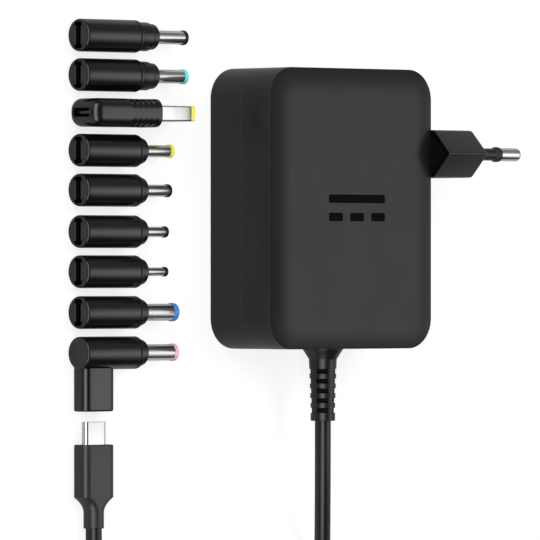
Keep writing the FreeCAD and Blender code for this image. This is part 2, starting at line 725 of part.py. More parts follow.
def build_transformer():
    """A core with three upright legs, a bobbin round the middle one and the winding on it."""
    x, y = -size.core_place, size.core_place
    window = (size.core_width - size.core_centre_leg) / 2 - size.core_leg
    low, high = board_top + size.core_yoke, board_top + size.core_height - size.core_yoke
    half = size.core_width / 2
    core = new_body("core")
    front = new_sketch(core, "XZ_Plane", -y - size.core_depth / 2)
    box_outline(front, x - half, x + half, board_top, board_top + size.core_height)
    for side in (-1, 1):
        near_leg = size.core_centre_leg / 2 * side
        box_outline(front, x + near_leg, x + near_leg + window * side, low, high)
    pad(core, front, size.core_depth)

    def ring(name, inset, out, base, tall):
        body = new_body(name)
        sketch = new_sketch(body, "XY_Plane", base)
        for grow in (inset, out):
            dx, dy = size.core_centre_leg / 2 + grow, size.core_depth / 2 + grow
            box_outline(sketch, x - dx, x + dx, y - dy, y + dy)
        pad(body, sketch, tall)
        return body

    clear = size.fit
    tall = high - low - clear * 2
    wall = clear + size.bobbin_wall
    sleeve = ring("bobbin_sleeve", clear, wall, low + clear, tall)
    flanges = [ring("bobbin_flange", clear, size.bobbin_flange, base, size.bobbin_wall)
               for base in (low + clear, high - clear - size.bobbin_wall)]
    winding = ring("winding", wall + clear, wall + clear + size.winding_build,
                   low + clear * 2 + size.bobbin_wall, tall - size.bobbin_wall * 2 - clear * 2)
    return core, joined("bobbin", [sleeve, *flanges]), winding


def build_power_chip(plate_face):
    """The plate stands on the board at the left, the chip is held to it through a soft pad."""
    y = size.core_place
    half = size.spreader_length / 2
    plate = block("plate", plate_face - size.spreader_thickness, plate_face, y - half, y + half,
                  board_top, board_top + size.spreader_height)
    low = board_top + size.chip_leg_height
    wide = size.chip_width / 2
    soft = block("soft_pad", plate_face, plate_face + size.pad_thickness, y - wide, y + wide, low,
                 low + size.chip_height)
    front = plate_face + size.pad_thickness
    parts = [block("chip", front, front + size.chip_thickness, y - wide, y + wide, low,
                   low + size.chip_height)]
    middle = front + size.chip_thickness / 2
    for index in (-1, 0, 1):
        leg = y + size.chip_leg_pitch * index
        parts.append(block("chip_leg", middle - size.chip_leg / 2, middle + size.chip_leg / 2,
                           leg - size.chip_leg / 2, leg + size.chip_leg / 2, board_top, low))
    return plate, soft, joined("power_chip", parts)


def build_board_parts():
    """Round and square parts in rows along the board's edges, each a gap from the last."""
    gap = size.part_gap
    right = board_x - gap
    bulk_x = right - size.bulk_radius - gap
    bulk_y = -size.bulk_radius - gap
    bulk = [rod("bulk", size.bulk_radius, size.bulk_length, bulk_x,
                bulk_y - (size.bulk_radius * 2 + gap) * index, board_top) for index in range(2)]
    keep(grouped("bulk_pair", bulk), "bulk_capacitors")
    row_y = bulk_y - size.bulk_radius * 2
    left = -board_x + gap * 2
    caps = [rod("cap", size.output_cap_radius, size.output_cap_length,
                left + size.output_cap_radius + (size.output_cap_radius * 2 + gap) * index, row_y, board_top)
            for index in range(3)]
    keep(grouped("cap_row", caps), "output_capacitors")
    drum_x = left + size.drum_radius + size.drum_gap
    drum_y = row_y - size.output_cap_radius - gap - size.drum_radius
    keep(rod("drum", size.drum_radius, size.drum_length, drum_x, drum_y, board_top), "output_choke")
    control_y = -size.core_place - gap
    keep(block("control", -size.core_place - size.control_width, -size.core_place,
               control_y - size.control_length, control_y, board_top, board_top + size.control_height),
         "control_chip")
    top = board_y - gap * 2
    toroid = doc.addObject("Part::Torus", "toroid")
    bind(toroid, Radius1=size.toroid_radius, Radius2=size.toroid_thickness)
    toroid_reach = size.toroid_radius + size.toroid_thickness
    toroid_x = -size.toroid_place
    keep(place(toroid, toroid_x, top - toroid_reach, board_top + size.toroid_thickness), "line_choke")
    film_x = toroid_x + toroid_reach + gap
    keep(block("film", film_x, film_x + size.film_width, top - size.film_length, top, board_top,
               board_top + size.film_height), "film_capacitor")
    fuse_x = film_x + size.film_width + gap + size.fuse_radius
    keep(rod("fuse_tube", size.fuse_radius, size.fuse_length, fuse_x, top - size.fuse_length,
             board_top + size.fuse_radius, Y_AXIS), "fuse")
    bridge_x = inner_width - size.carrier_reach - size.bridge_gap - size.bridge_width
    keep(block("bridge", bridge_x, bridge_x + size.bridge_width, gap, gap + size.bridge_length, board_top,
               board_top + size.bridge_height), "bridge_rectifier")


def build_output_wires():
    """Two wires through the strain relief's bore, bent down to the board."""
    wires = []
    start = -relief_end.value
    inner = -(inner_height.value - size.relief_flange_length.value)
    bend = inner + size.wire_reach.value
    level = size.cord_axis_height.value
    for side in (-1, 1):
        x = side * size.wire_offset.value
        points = ((x, start, level), (x, bend, level), (x, bend, board_top.value))
        path, radii = rounded_path(points)
        wire = doc.addObject("Part::Feature", "output_wire")
        wire.Shape = tube_along(path, size.wire_radius.value)
        wires.append(wire)
    return grouped("wire_pair", wires)


# Plug at the cord's far end

def build_usb_plug():
    """A metal shell with round ends, the plastic insert in it and the housing with its neck."""
    x, z = size.usb_x, usb_z
    mouth = -size.usb_mouth
    seat = size.shell_length + size.shell_seat
    shell = new_body("plug_shell")
    sketch = new_sketch(shell, "XZ_Plane", mouth)
    walls = size.shell_wall * 2
    slot_outline(sketch, size.shell_width, size.shell_thickness, x, z)
    slot_outline(sketch, size.shell_width - walls, size.shell_thickness - walls, x, z)
    pad(shell, sketch, seat)
    insert = new_body("plug_insert")
    sketch = new_sketch(insert, "XZ_Plane", mouth + size.insert_recess)
    margin = (size.shell_wall + size.fit) * 2
    slot_outline(sketch, size.shell_width - margin, size.shell_thickness - margin, x, z)
    pad(insert, sketch, seat - size.insert_recess)
    gap_sketch = new_sketch(insert, "XZ_Plane", mouth + size.insert_recess)
    box_outline(gap_sketch, x - size.tongue_slot_width / 2, x + size.tongue_slot_width / 2,
                z - size.tongue_slot / 2, z + size.tongue_slot / 2)
    pocket(insert, gap_sketch, size.tongue_slot_depth, reverse=True)

    housing = new_body("plug_housing")
    start = mouth + size.shell_length
    sketch = new_sketch(housing, "XZ_Plane", start)
    half = size.housing_thickness / 2
    pad(housing, rounded_box(sketch, size.housing_width / 2, half, size.housing_round, x, z),
        size.housing_length)
    wide = new_sketch(housing, "XZ_Plane", start + size.housing_length)
    rounded_box(wide, size.housing_width / 2, half, size.housing_round, x, z)
    narrow = new_sketch(housing, "XZ_Plane", start + size.housing_length + size.taper_length)
    rounded_box(narrow, size.neck_radius + size.fit, size.neck_radius, size.housing_round, x, z)
    loft(housing, wide, narrow)
    neck = new_sketch(housing, "XZ_Plane", start + size.housing_length + size.taper_length)
    pad(housing, circle(neck, x, z, size.neck_end_radius), size.neck_length)
    seat_sketch = new_sketch(housing, "XZ_Plane", start)
    margin = size.fit * 2
    slot_outline(seat_sketch, size.shell_width + margin, size.shell_thickness + margin, x, z)
    pocket(housing, seat_sketch, size.shell_seat, reverse=True)
    return shell, insert, housing


# Tips

def tip_size(number, name):
    return getattr(size, f"tip_{number}_{name}")


def barrel_base(number):
    """Distance from a round tip's left end to where its bare barrel starts."""
    base = size.tip_length
    for step in range(1, len(ROUND_TIPS[number][5]) + 1):
        base = base + tip_size(number, f"collar_{step}_length")
    return base


def add_socket(body, plane, mouth, inward, x, y, upright=False):
    """Sink the socket into the body from its mouth and stand the tongue in it."""
    cavity = new_sketch(body, plane, mouth)
    slot_outline(cavity, size.socket_width, size.socket_height, x, y, upright)
    pocket(body, cavity, size.socket_depth, reverse=inward > 0)
    tongue = new_sketch(body, plane, mouth + size.socket_depth * inward)
    wide, thin = size.tongue_width / 2, size.tongue_thickness / 2
    across, along = (thin, wide) if upright else (wide, thin)
    box_outline(tongue, x - across, x + across, y - along, y + along)
    pad(body, tongue, size.socket_depth - size.tongue_recess, reverse=inward > 0)


def build_round_tip(number):
    """A turned plastic body with collars, the flanged barrel, its inner contact and the ring between."""
    start = barrel_base(number)
    points = [(0, 0), (0, size.tip_radius), (size.tip_length, size.tip_radius)]
    along = size.tip_length
    for step in range(1, len(ROUND_TIPS[number][5]) + 1):
        radius = tip_size(number, f"collar_{step}_radius")
        points.append((along, radius))
        along = along + tip_size(number, f"collar_{step}_length")
        points.append((along, radius))
    points.append((along, 0))
    body = new_body(f"tip_{number}_turned")
    turned = revolve(body, polygon(new_sketch(body, "XY_Plane"), points))
    fillet(body, turned, lambda p: near(p.x, 0), size.tip_edge_radius)
    if number == ELBOW_TIP:
        add_leg(body)
    else:
        add_socket(body, "YZ_Plane", ZERO, 1, ZERO, ZERO)
    barrel = tip_size(number, "barrel_radius")
    hole = new_sketch(body, "YZ_Plane", start)
    root = barrel + size.barrel_flange
    pocket(body, circle(hole, 0, 0, root + size.fit), size.barrel_seat)
    y, z = tip_size(number, "place"), size.tip_radius
    place(body, size.tip_left, y, z)
    keep(body, f"tip_{number}_body")

    back = start - size.barrel_seat
    end = start + tip_size(number, "barrel_length")
    inner = barrel - size.barrel_wall
    bore = tip_size(number, "bore_radius")
    contact = bore + size.contact_wall
    sleeve = turned_x("barrel_tube", ((back, inner), (end, inner), (end, barrel), (start, barrel),
                                      (start, root), (back, root)), size.tip_left, y, z)
    socket = turned_x("contact_tube", ((back, bore), (end, bore), (end, contact), (back, contact)),
                      size.tip_left, y, z)
    keep(grouped("barrel_tubes", [sleeve, socket]), f"tip_{number}_barrel")
    lip = end + tip_size(number, "ring_length")
    clear = size.fit / 2
    proud = barrel + size.ring_proud
    keep(turned_x("ring", ((back, contact + clear), (end + clear, contact + clear), (end + clear, bore),
                           (lip, bore), (lip, proud), (end + clear, proud), (end + clear, inner - clear),
                           (back, inner - clear)), size.tip_left, y, z), f"tip_{number}_ring")


def add_leg(body):
    """The elbow's leg, whose socket is in line with the plug at the cord's far end."""
    middle = size.usb_x - size.tip_left
    level = usb_z - size.tip_radius
    reach = size.tip_radius + size.leg_drop
    sketch = new_sketch(body, "XZ_Plane")
    rounded_box(sketch, size.leg_width / 2, usb_z, size.leg_round, middle, level)
    pad(body, sketch, reach)
    add_socket(body, "XZ_Plane", reach, -1, middle, level)


def build_slim_tip(number):
    """A tip with a flat shell, standing on its narrow side, with grip ripples on both flanks."""
    body = new_body("slim_blank")
    half_y, half_z = size.slim_width / 2, size.slim_height / 2
    section = rounded_box(new_sketch(body, "YZ_Plane"), half_y, half_z, size.slim_round)
    bar = pad(body, section, size.slim_length)
    rounded = fillet(body, bar, lambda p: near(p.x, 0), size.slim_nose_radius)
    fillet(body, rounded, lambda p: near(p.x, size.slim_length), size.slim_edge_radius)
    add_socket(body, "YZ_Plane", ZERO, 1, ZERO, ZERO, upright=True)
    flat, tall = size.slim_shell_width / 2, size.slim_shell_height / 2
    hole = new_sketch(body, "YZ_Plane", size.slim_length)
    box_outline(hole, -flat - size.fit, flat + size.fit, -tall - size.fit, tall + size.fit)
    pocket(body, hole, size.barrel_seat)
    place(body, size.tip_left, size.slim_place, half_z)
    cutters = []
    for index in range(int(size.ripple_count.value)):
        x = size.tip_left + size.slim_length - size.ripple_start - size.ripple_pitch * index
        for side in (-1, 1):
            y = size.slim_place + (half_y + size.ripple_radius - size.ripple_depth) * side
            cutters.append(rod("ripple", size.ripple_radius, size.slim_height, x, y, 0))
    keep(cut_away("slim_rippled", body, joined("ripples", cutters)), f"tip_{number}_body")

    back = size.slim_length - size.barrel_seat
    end = size.slim_length + size.slim_shell_length
    shell = new_body("slim_shell")
    sketch = new_sketch(shell, "YZ_Plane", back)
    wall = size.slim_shell_wall
    for inset in (ZERO, wall):
        box_outline(sketch, -flat + inset, flat - inset, -tall + inset, tall - inset)
    pad(shell, sketch, end - back)
    place(shell, size.tip_left, size.slim_place, half_z)
    length = end - back - size.slim_pin_recess
    pin = rod("slim_pin", size.slim_pin_radius, length, size.tip_left + back, size.slim_place, half_z, X_AXIS)
    keep(grouped("slim_metal", [shell, pin]), f"tip_{number}_barrel")
    ring = new_body("slim_ring")
    sketch = new_sketch(ring, "YZ_Plane", back)
    inset = wall + size.fit
    box_outline(sketch, -flat + inset, flat - inset, -tall + inset, tall - inset)
    pad(ring, sketch, size.barrel_seat + size.slim_ring_length)
    pocket(ring, circle(new_sketch(ring, "YZ_Plane", back), 0, 0, size.slim_pin_radius + size.fit),
           size.slim_length, reverse=True)
    place(ring, size.tip_left, size.slim_place, half_z)
    rim = new_body("slim_rim")
    sketch = new_sketch(rim, "YZ_Plane", end)
    box_outline(sketch, -flat, flat, -tall, tall)
    box_outline(sketch, -flat + inset, flat - inset, -tall + inset, tall - inset)
    pad(rim, sketch, size.slim_ring_length)
    place(rim, size.tip_left, size.slim_place, half_z)
    keep(grouped("slim_plastic", [ring, rim]), f"tip_{number}_ring")


# Assembly
keep(build_front_shell(), "front_shell")
keep(build_rear_shell(), "rear_shell")
keep(build_plug_body(), "plug_body")
keep(build_contact_carrier(), "contact_carrier")
keep(grouped("strips", strip_boxes("contact", ZERO)), "contact_strips")
pins, sleeves = build_pins()
keep(pins, "mains_pins")
keep(sleeves, "pin_sleeves")
keep(build_strain_relief(), "strain_relief")
keep(build_board(), "circuit_board")
keep(build_insulating_sheet(), "insulating_sheet")
for item, label in zip(build_transformer(),
                       ("transformer_core", "transformer_bobbin", "transformer_winding")):
    keep(item, label)
for item, label in zip(build_power_chip(-board_x + size.spreader_thickness),
                       ("heat_spreader", "thermal_pad", "power_switch_chip")):
    keep(item, label)
build_board_parts()
keep(build_output_wires(), "output_wires")
keep(tube("output_cord", CORD_ROUTE, size.cord_radius.value), "output_cord")
keep(build_coil(), "cord_coil")
keep(tube("cord_tail", TAIL_ROUTE, size.cord_radius.value), "cord_tail")
keep(build_cord_tie(), "cord_tie")
for item, label in zip(build_usb_plug(), ("usb_shell", "usb_insert", "usb_housing")):
    keep(item, label)
for tip in range(1, 10):
    if tip == SLIM_TIP:
        build_slim_tip(tip)
    else:
        build_round_tip(tip)
doc.recompute()

# Files
faults = [f"{item.Label} {item.State}" for item in doc.Objects if {"Invalid", "Error"} & set(item.State)]
faults += [f"{item.Label} has no valid shape" for item in subparts
           if item.Shape.isNull() or not item.Shape.isValid()]
if faults:
    raise RuntimeError("; ".join(faults))
os.makedirs("parts", exist_ok=True)
for item in subparts:
    item.Shape.exportStep(f"parts/{item.Label}.step")
    print(f"{item.Label}: {len(item.Shape.Solids)} solids, {item.Shape.Volume:.1f} mm3")
print(len(subparts), "sub-parts")
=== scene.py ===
"""Dresses the wall adapter, its cord, the plug at the cord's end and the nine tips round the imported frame."""

import logging
import math
from abc import ABC, abstractmethod
from collections.abc import Iterable, Sequence
from dataclasses import dataclass, field
from enum import Enum
from typing import Any

import bmesh
import bpy
from mathutils import Matrix, Vector

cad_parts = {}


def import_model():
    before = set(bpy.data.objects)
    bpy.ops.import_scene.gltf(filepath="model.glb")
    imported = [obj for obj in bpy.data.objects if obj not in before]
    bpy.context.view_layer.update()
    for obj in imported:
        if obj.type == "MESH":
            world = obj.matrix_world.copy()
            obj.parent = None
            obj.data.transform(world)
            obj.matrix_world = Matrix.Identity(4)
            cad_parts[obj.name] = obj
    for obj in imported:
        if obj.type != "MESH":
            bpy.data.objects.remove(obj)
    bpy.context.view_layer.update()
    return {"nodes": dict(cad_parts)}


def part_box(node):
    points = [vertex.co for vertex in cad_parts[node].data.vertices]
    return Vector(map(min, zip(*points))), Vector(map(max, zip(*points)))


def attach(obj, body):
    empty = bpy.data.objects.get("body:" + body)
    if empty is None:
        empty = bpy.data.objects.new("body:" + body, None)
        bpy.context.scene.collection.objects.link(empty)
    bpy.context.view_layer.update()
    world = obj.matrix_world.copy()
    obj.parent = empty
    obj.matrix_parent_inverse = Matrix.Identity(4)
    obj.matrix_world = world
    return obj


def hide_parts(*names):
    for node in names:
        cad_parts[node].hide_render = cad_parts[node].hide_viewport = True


frame: dict[str, Any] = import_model()
log = logging.getLogger("adapter")

MM = 0.001
ROUND_STEPS = 12
LEAST_RADIUS = 0.01
CORNER_SHARE = 0.49
SHARP_ANGLE = math.radians(32)
SAME_PLACE = 1e-7
WHITE = (1.0, 1.0, 1.0, 1.0)

Point = tuple[float, float, float]
Flat = tuple[float, float]
Colour = tuple[float, float, float]


class Axis(Enum):
    """The way in which a form runs, seen with the front of the case towards the viewer."""

    RIGHT = "+X"
    UP = "+Y"
    DOWN = "-Y"
    FRONT = "+Z"


# Shader maths and finishes

class Wire:
    """A value inside a material, on which the usual operators add Math nodes."""

    def __init__(self, paint: "Paint", socket: bpy.types.NodeSocket) -> None:
        """Keeps the material under way and the socket that gives the value."""
        self.paint = paint
        self.socket = socket

    def maths(self, operation: str, *values: "Wire | float") -> "Wire":
        """Adds one Math node.

        Args:
            operation: Blender's name of the sum.
            values: the inputs in order, or none for this value alone.

        Returns:
            The node's result.
        """
        inputs = dict(enumerate(values or (self,)))
        return self.paint.value("ShaderNodeMath", 0, {"operation": operation}, inputs)

    def __add__(self, other: "Wire | float") -> "Wire":
        """Adds."""
        return self.maths("ADD", self, other)

    def __radd__(self, other: float) -> "Wire":
        """Adds to a number."""
        return self.maths("ADD", other, self)

    def __sub__(self, other: "Wire | float") -> "Wire":
        """Subtracts."""
        return self.maths("SUBTRACT", self, other)

    def __rsub__(self, other: float) -> "Wire":
        """Subtracts from a number."""
        return self.maths("SUBTRACT", other, self)

    def __mul__(self, other: "Wire | float") -> "Wire":
        """Multiplies."""
        return self.maths("MULTIPLY", self, other)

    def __rmul__(self, other: float) -> "Wire":
        """Multiplies a number."""
        return self.maths("MULTIPLY", other, self)

    def held(self, low: float, high: float) -> "Wire":
        """Keeps the value between two limits."""
        return self.maths("MINIMUM", self.maths("MAXIMUM", self, low), high)

    def rise(self, start: float, end: float) -> "Wire":
        """A soft step from 0 at start to 1 at end."""
        share = ((self - start) * (1 / (end - start))).held(0.0, 1.0)
        return share * share * (3.0 - 2.0 * share)


class Nodes:
    """A node tree while it is made."""

    def __init__(self, tree: bpy.types.NodeTree) -> None:
        """Keeps the tree."""
        self.tree = tree

    def add(self, kind: str, settings: dict[str, Any] | None = None,
            inputs: dict[str | int, Any] | None = None) -> bpy.types.Node:
        """Adds one node.

        Args:
            kind: Blender's type of the node.
            settings: the node's own settings, set before its sockets.
            inputs: values or links, by the socket's name or number.

        Returns:
            The node.
        """
        node = self.tree.nodes.new(kind)
        for name, value in (settings or {}).items():
            setattr(node, name, value)
        for key, value in (inputs or {}).items():
            source = value.socket if isinstance(value, Wire) else value
            if isinstance(source, bpy.types.NodeSocket):
                self.tree.links.new(source, node.inputs[key])
            else:
                node.inputs[key].default_value = source
        return node


class Paint(Nodes):
    """The node tree of one material, or of the world, while it is made."""

    def __init__(self, owner: bpy.types.Material | bpy.types.World) -> None:
        """Starts with an empty tree.

        Args:
            owner: what the tree belongs to.
        """
        owner.use_nodes = True
        super().__init__(owner.node_tree)
        self.tree.nodes.clear()

    def value(self, kind: str, output: str | int, settings: dict[str, Any] | None = None,
              inputs: dict[str | int, Any] | None = None) -> Wire:
        """Adds one node and gives one of its outputs."""
        return Wire(self, self.add(kind, settings, inputs).outputs[output])

    def place(self, stretch: Point = (1, 1, 1)) -> Wire:
        """The object's own coordinates, in metres, stretched along the axes."""
        coordinates = self.value("ShaderNodeTexCoord", "Object")
        return self.value("ShaderNodeMapping", 0, None, {"Vector": coordinates, "Scale": stretch})

    def along(self, place: Wire, way: Point) -> Wire:
        """How far a place lies along a way."""
        return self.value("ShaderNodeVectorMath", "Value", {"operation": "DOT_PRODUCT"}, {0: place, 1: way})

    def noise(self, place: Wire, scale: float, detail: float = 2.0) -> Wire:
        """Soft noise between 0 and 1, of so many waves in a metre."""
        return self.value("ShaderNodeTexNoise", "Fac", None, {
            "Vector": place, "Scale": scale, "Detail": detail})

    def blend(self, share: Wire, start: Colour, end: Colour) -> Wire:
        """A colour between two."""
        return self.value("ShaderNodeMix", 2, {"data_type": "RGBA"}, {
            0: share, 6: (*start, 1.0), 7: (*end, 1.0)})

    def bump(self, height: Wire, distance: float) -> Wire:
        """A normal that follows a height, whose full range stands the distance high."""
        return self.value("ShaderNodeBump", 0, None, {"Height": height, "Distance": distance})


@dataclass(frozen=True)
class Finish:
    """A moulded, turned or drawn surface: fine grain in the normal, broad patches in colour and gloss."""

    name: str
    colour: Colour
    roughness: float
    metallic: float = 0.0
    grain: float = 4000.0
    depth: float = 0.004
    detail: float = 3.0
    stretch: Point = (1.0, 1.0, 1.0)
    patch: float = 90.0
    patch_share: float = 0.7
    patch_edge: Flat = (0.25, 0.75)
    mottle: float = 0.10
    gloss_change: float = 0.06
    least_roughness: float = 0.03
    specular: float = 0.5
    coat: float = 0.0

    def build(self) -> bpy.types.Material:
        """Makes the material.

        Returns:
            The material, with this finish's name.
        """
        material = bpy.data.materials.new(self.name)
        paint = Paint(material)
        place = paint.place(self.stretch)
        patches = paint.noise(place, self.patch, self.detail)
        fine = self.relief(paint, place)
        roughness = self.roughness - self.gloss_change + 2 * self.gloss_change * patches
        shader = paint.add("ShaderNodeBsdfPrincipled", None, {
            "Base Color": self.shade(paint, patches, fine), "Metallic": self.metallic,
            "Roughness": roughness.held(self.least_roughness, 1.0), "Specular IOR Level": self.specular,
            "Coat Weight": self.coat, "Normal": paint.bump(fine, self.depth * MM)})
        paint.add("ShaderNodeOutputMaterial", None, {"Surface": shader.outputs[0]})
        return material

    def relief(self, paint: Paint, place: Wire) -> Wire:
        """The height that the grain is made of."""
        return paint.noise(place, self.grain, self.detail)

    def shade(self, paint: Paint, patches: Wire, fine: Wire) -> Wire:
        """The colour, a little lighter and darker in patches and in the grain's hollows.

        Args:
            paint: the material under way.
            patches: the broad noise.
            fine: the grain's height.

        Returns:
            The colour.
        """
        share = (self.patch_share * patches + (1 - self.patch_share) * fine).rise(*self.patch_edge)
        low = tuple(part * (1 - self.mottle) for part in self.colour)
        high = tuple(min(1.0, part * (1 + self.mottle)) for part in self.colour)
        return paint.blend(share, low, high)


@dataclass(frozen=True)
class Wound(Finish):
    """Wire or thread in even turns along one axis, with dark gaps between them."""

    turn: float = 0.6
    along: Point = (0.0, 0.0, 1.0)
    gap_colour: Colour = (0.05, 0.02, 0.01)
    gap_edge: Flat = (0.05, 0.55)

    def relief(self, paint: Paint, place: Wire) -> Wire:
        """Rounded turns side by side."""
        distance = paint.along(place, self.along)
        return 0.5 + 0.5 * (distance * (2 * math.pi / (self.turn * MM))).maths("COSINE")

    def shade(self, paint: Paint, patches: Wire, fine: Wire) -> Wire:
        """Bright crowns and dark gaps."""
        return paint.blend(fine.rise(*self.gap_edge), self.gap_colour, self.colour)


@dataclass(frozen=True)
class PrintedBoard(Finish):
    """Green lacquer over copper lines."""

    line_colour: Colour = (0.03, 0.17, 0.07)
    cells: float = 260.0
    disorder: float = 0.75
    line_edge: Flat = (0.30, 0.36)

    def relief(self, paint: Paint, place: Wire) -> Wire:
        """Raised lines in the borders of square cells.

        Args:
            paint: the material under way.
            place: the surface's place.

        Returns:
            The height, from 0 to 1.
        """
        cells = paint.value("ShaderNodeTexVoronoi", "Distance", {"distance": "MANHATTAN"},
                            {"Vector": place, "Scale": self.cells, "Randomness": self.disorder})
        return cells.rise(*self.line_edge)

    def shade(self, paint: Paint, patches: Wire, fine: Wire) -> Wire:
        """Lighter lines on the darker ground."""
        return paint.blend(fine, self.line_colour, self.colour)


class Palette:
    """Every finish of the part, made once and handed out by name."""

    FINISHES: tuple[Finish, ...] = (
        Finish("case", (0.0092, 0.0092, 0.0094), 0.34, grain=3200, depth=0.010, specular=0.47),
        Finish("plug_case", (0.0165, 0.0165, 0.0168), 0.36, grain=3200, depth=0.008, specular=0.55),
        # Near-black ink: the sign's real print, and painted shade on the plug housing's open back and in the
        # boot's slots.
        Finish("ink", (0.0012, 0.0012, 0.0013), 0.60, grain=1500, depth=0.001, mottle=0.2, specular=0.08),
        Finish("black_insert", (0.0022, 0.0022, 0.0024), 0.55, grain=5200, mottle=0.2, specular=0.2),
        Finish("brass", (0.62, 0.44, 0.17), 0.30, 1.0, grain=1800, stretch=(1, 1, 12), depth=0.002),
        Finish("gold", (0.83, 0.60, 0.24), 0.22, 1.0, grain=2600, depth=0.001),
        Finish("pin_metal", (0.79, 0.79, 0.78), 0.17, 1.0, grain=900, stretch=(9, 1, 1), depth=0.0012,
               mottle=0.04, gloss_change=0.05),
        Finish("plug_metal", (0.83, 0.83, 0.83), 0.20, 1.0, grain=900, stretch=(1, 9, 1), depth=0.0012,
               mottle=0.04, gloss_change=0.05),
        Finish("barrel_metal", (0.77, 0.77, 0.76), 0.15, 1.0, grain=900, stretch=(9, 1, 1), depth=0.0012,
               mottle=0.05, gloss_change=0.05),
        Finish("sleeve_plastic", (0.0105, 0.0105, 0.011), 0.36, grain=3600, specular=0.6),
        Finish("boot_rubber", (0.0078, 0.0078, 0.0081), 0.31, grain=4200, depth=0.006, mottle=0.14,
               specular=0.6),
        Finish("cord_rubber", (0.0054, 0.0054, 0.0057), 0.29, grain=2600, depth=0.006, mottle=0.14,
               specular=0.6),
        Finish("tip_plastic", (0.0028, 0.0028, 0.0031), 0.22, grain=3600, depth=0.003, mottle=0.16,
               gloss_change=0.03, specular=0.75),
        Finish("plug_plastic", (0.021, 0.021, 0.0215), 0.30, grain=3400, depth=0.005, mottle=0.08,
               specular=0.55),
        Finish("ring_black", (0.004, 0.004, 0.0045), 0.25, grain=3000, depth=0.002),
        Finish("ring_cyan", (0.13, 0.80, 0.82), 0.30, grain=3000, depth=0.002, mottle=0.05),
        Finish("ring_yellow", (0.88, 0.84, 0.07), 0.30, grain=3000, depth=0.002, mottle=0.05),
        Finish("ring_blue", (0.05, 0.24, 0.70), 0.30, grain=3000, depth=0.002, mottle=0.05),
        Finish("ring_pink", (0.86, 0.42, 0.72), 0.30, grain=3000, depth=0.002, mottle=0.05),
        PrintedBoard("board", (0.012, 0.10, 0.035), 0.32, depth=0.03, coat=0.3),
        Finish("insulation", (0.66, 0.60, 0.44), 0.55, grain=1500, depth=0.01, mottle=0.08),
        Finish("ferrite", (0.035, 0.033, 0.032), 0.62, grain=5200, depth=0.02, mottle=0.25),
        Finish("bobbin_plastic", (0.70, 0.62, 0.40), 0.42, grain=2400, depth=0.006),
        Wound("copper_wire", (0.72, 0.34, 0.14), 0.30, 0.9, depth=0.15, turn=0.55),
        Finish("spreader_metal", (0.72, 0.73, 0.74), 0.34, 1.0, grain=1200, stretch=(1, 14, 1)),
        Finish("chip_plastic", (0.018, 0.018, 0.019), 0.48, grain=4600, depth=0.008, mottle=0.2),
        Finish("can_metal", (0.10, 0.11, 0.16), 0.24, grain=1400, stretch=(1, 1, 0.2)),
        Finish("film_box", (0.66, 0.47, 0.08), 0.35, grain=2000, depth=0.008),
        Finish("fuse_ceramic", (0.78, 0.76, 0.70), 0.30, grain=1800, depth=0.006, mottle=0.05),
        Finish("wire_rubber", (0.42, 0.05, 0.04), 0.42, grain=2600, depth=0.006),
        Wound("tie_fabric", (0.022, 0.022, 0.023), 0.75, depth=0.12, turn=0.7, along=(0.0, 0.7, 0.7),
              gap_colour=(0.006, 0.006, 0.006), specular=0.2),
    )

    def __init__(self) -> None:
        """Makes every material."""
        self.materials = {finish.name: finish.build() for finish in self.FINISHES}

    def __getitem__(self, name: str) -> bpy.types.Material:
        """The material of that finish."""
        return self.materials[name]


# Forms

def soften(corners: Sequence[Point], closed: bool = False, steps: int = 4) -> list[Flat]:
    """Rounds the corners of a profile.

    Args:
        corners: two coordinates and the rounding of each corner, in millimetres.
        closed: whether the last corner joins the first.
        steps: pieces in each rounding.

    Returns:
        The profile's points.
    """
    points: list[Flat] = []
    count = len(corners)
    for index, (first, second, rounding) in enumerate(corners):
        open_end = not closed and index in (0, count - 1)
        if rounding <= 0 or open_end:
            points.append((first, second))
            continue
        here = Vector((first, second))
        back = Vector(corners[index - 1][:2]) - here
        ahead = Vector(corners[(index + 1) % count][:2]) - here
        reach = min(rounding / math.tan(back.angle(ahead) / 2), back.length * CORNER_SHARE,
                    ahead.length * CORNER_SHARE)
        start, end = here + back.normalized() * reach, here + ahead.normalized() * reach
        for step in range(steps + 1):
            share = step / steps
            bend = start * (1 - share) ** 2 + here * 2 * share * (1 - share) + end * share ** 2
            points.append((bend.x, bend.y))
    return points


def rounded_loop(half_a: float, half_b: float, radius: float) -> list[Flat]:
    """Points of a rectangle with rounded corners about 0, 0, or of a circle where all three sizes agree.

    Args:
        half_a: half its first side.
        half_b: half its second side.
        radius: the radius of its corners.

    Returns:
        The points, anticlockwise.
    """
    radius = max(LEAST_RADIUS, min(radius, half_a, half_b))
    loop: list[Flat] = []
    for quarter, (side_a, side_b) in enumerate(((1, 1), (-1, 1), (-1, -1), (1, -1))):
        for step in range(ROUND_STEPS + 1):
            angle = math.pi / 2 * (quarter + step / ROUND_STEPS)
            loop.append((side_a * (half_a - radius) + radius * math.cos(angle),
                         side_b * (half_b - radius) + radius * math.sin(angle)))
    return loop


def laid(loop: Iterable[Flat], along: float, centre: Point, axis: Axis) -> list[Point]:
    """Stands a flat loop across an axis.

    Args:
        loop: points about 0, 0.
        along: distance from the centre along the axis.
        centre: where the form starts.
        axis: the way in which it runs.

    Returns:
        Points in space, in millimetres.
    """
    x, y, z = centre
    if axis is Axis.RIGHT:
        return [(x + along, y + a, z + b) for a, b in loop]
    if axis is Axis.FRONT:
        return [(x + a, y + b, z + along) for a, b in loop]
    place = y + along if axis is Axis.UP else y - along
    return [(x + a, place, z + b) for a, b in loop]


def rings(profile: Iterable[Flat], centre: Point, axis: Axis) -> list[list[Point]]:
    """Circles round an axis, from a profile of distance and radius."""
    return [laid(rounded_loop(radius, radius, radius), along, centre, axis) for along, radius in profile]


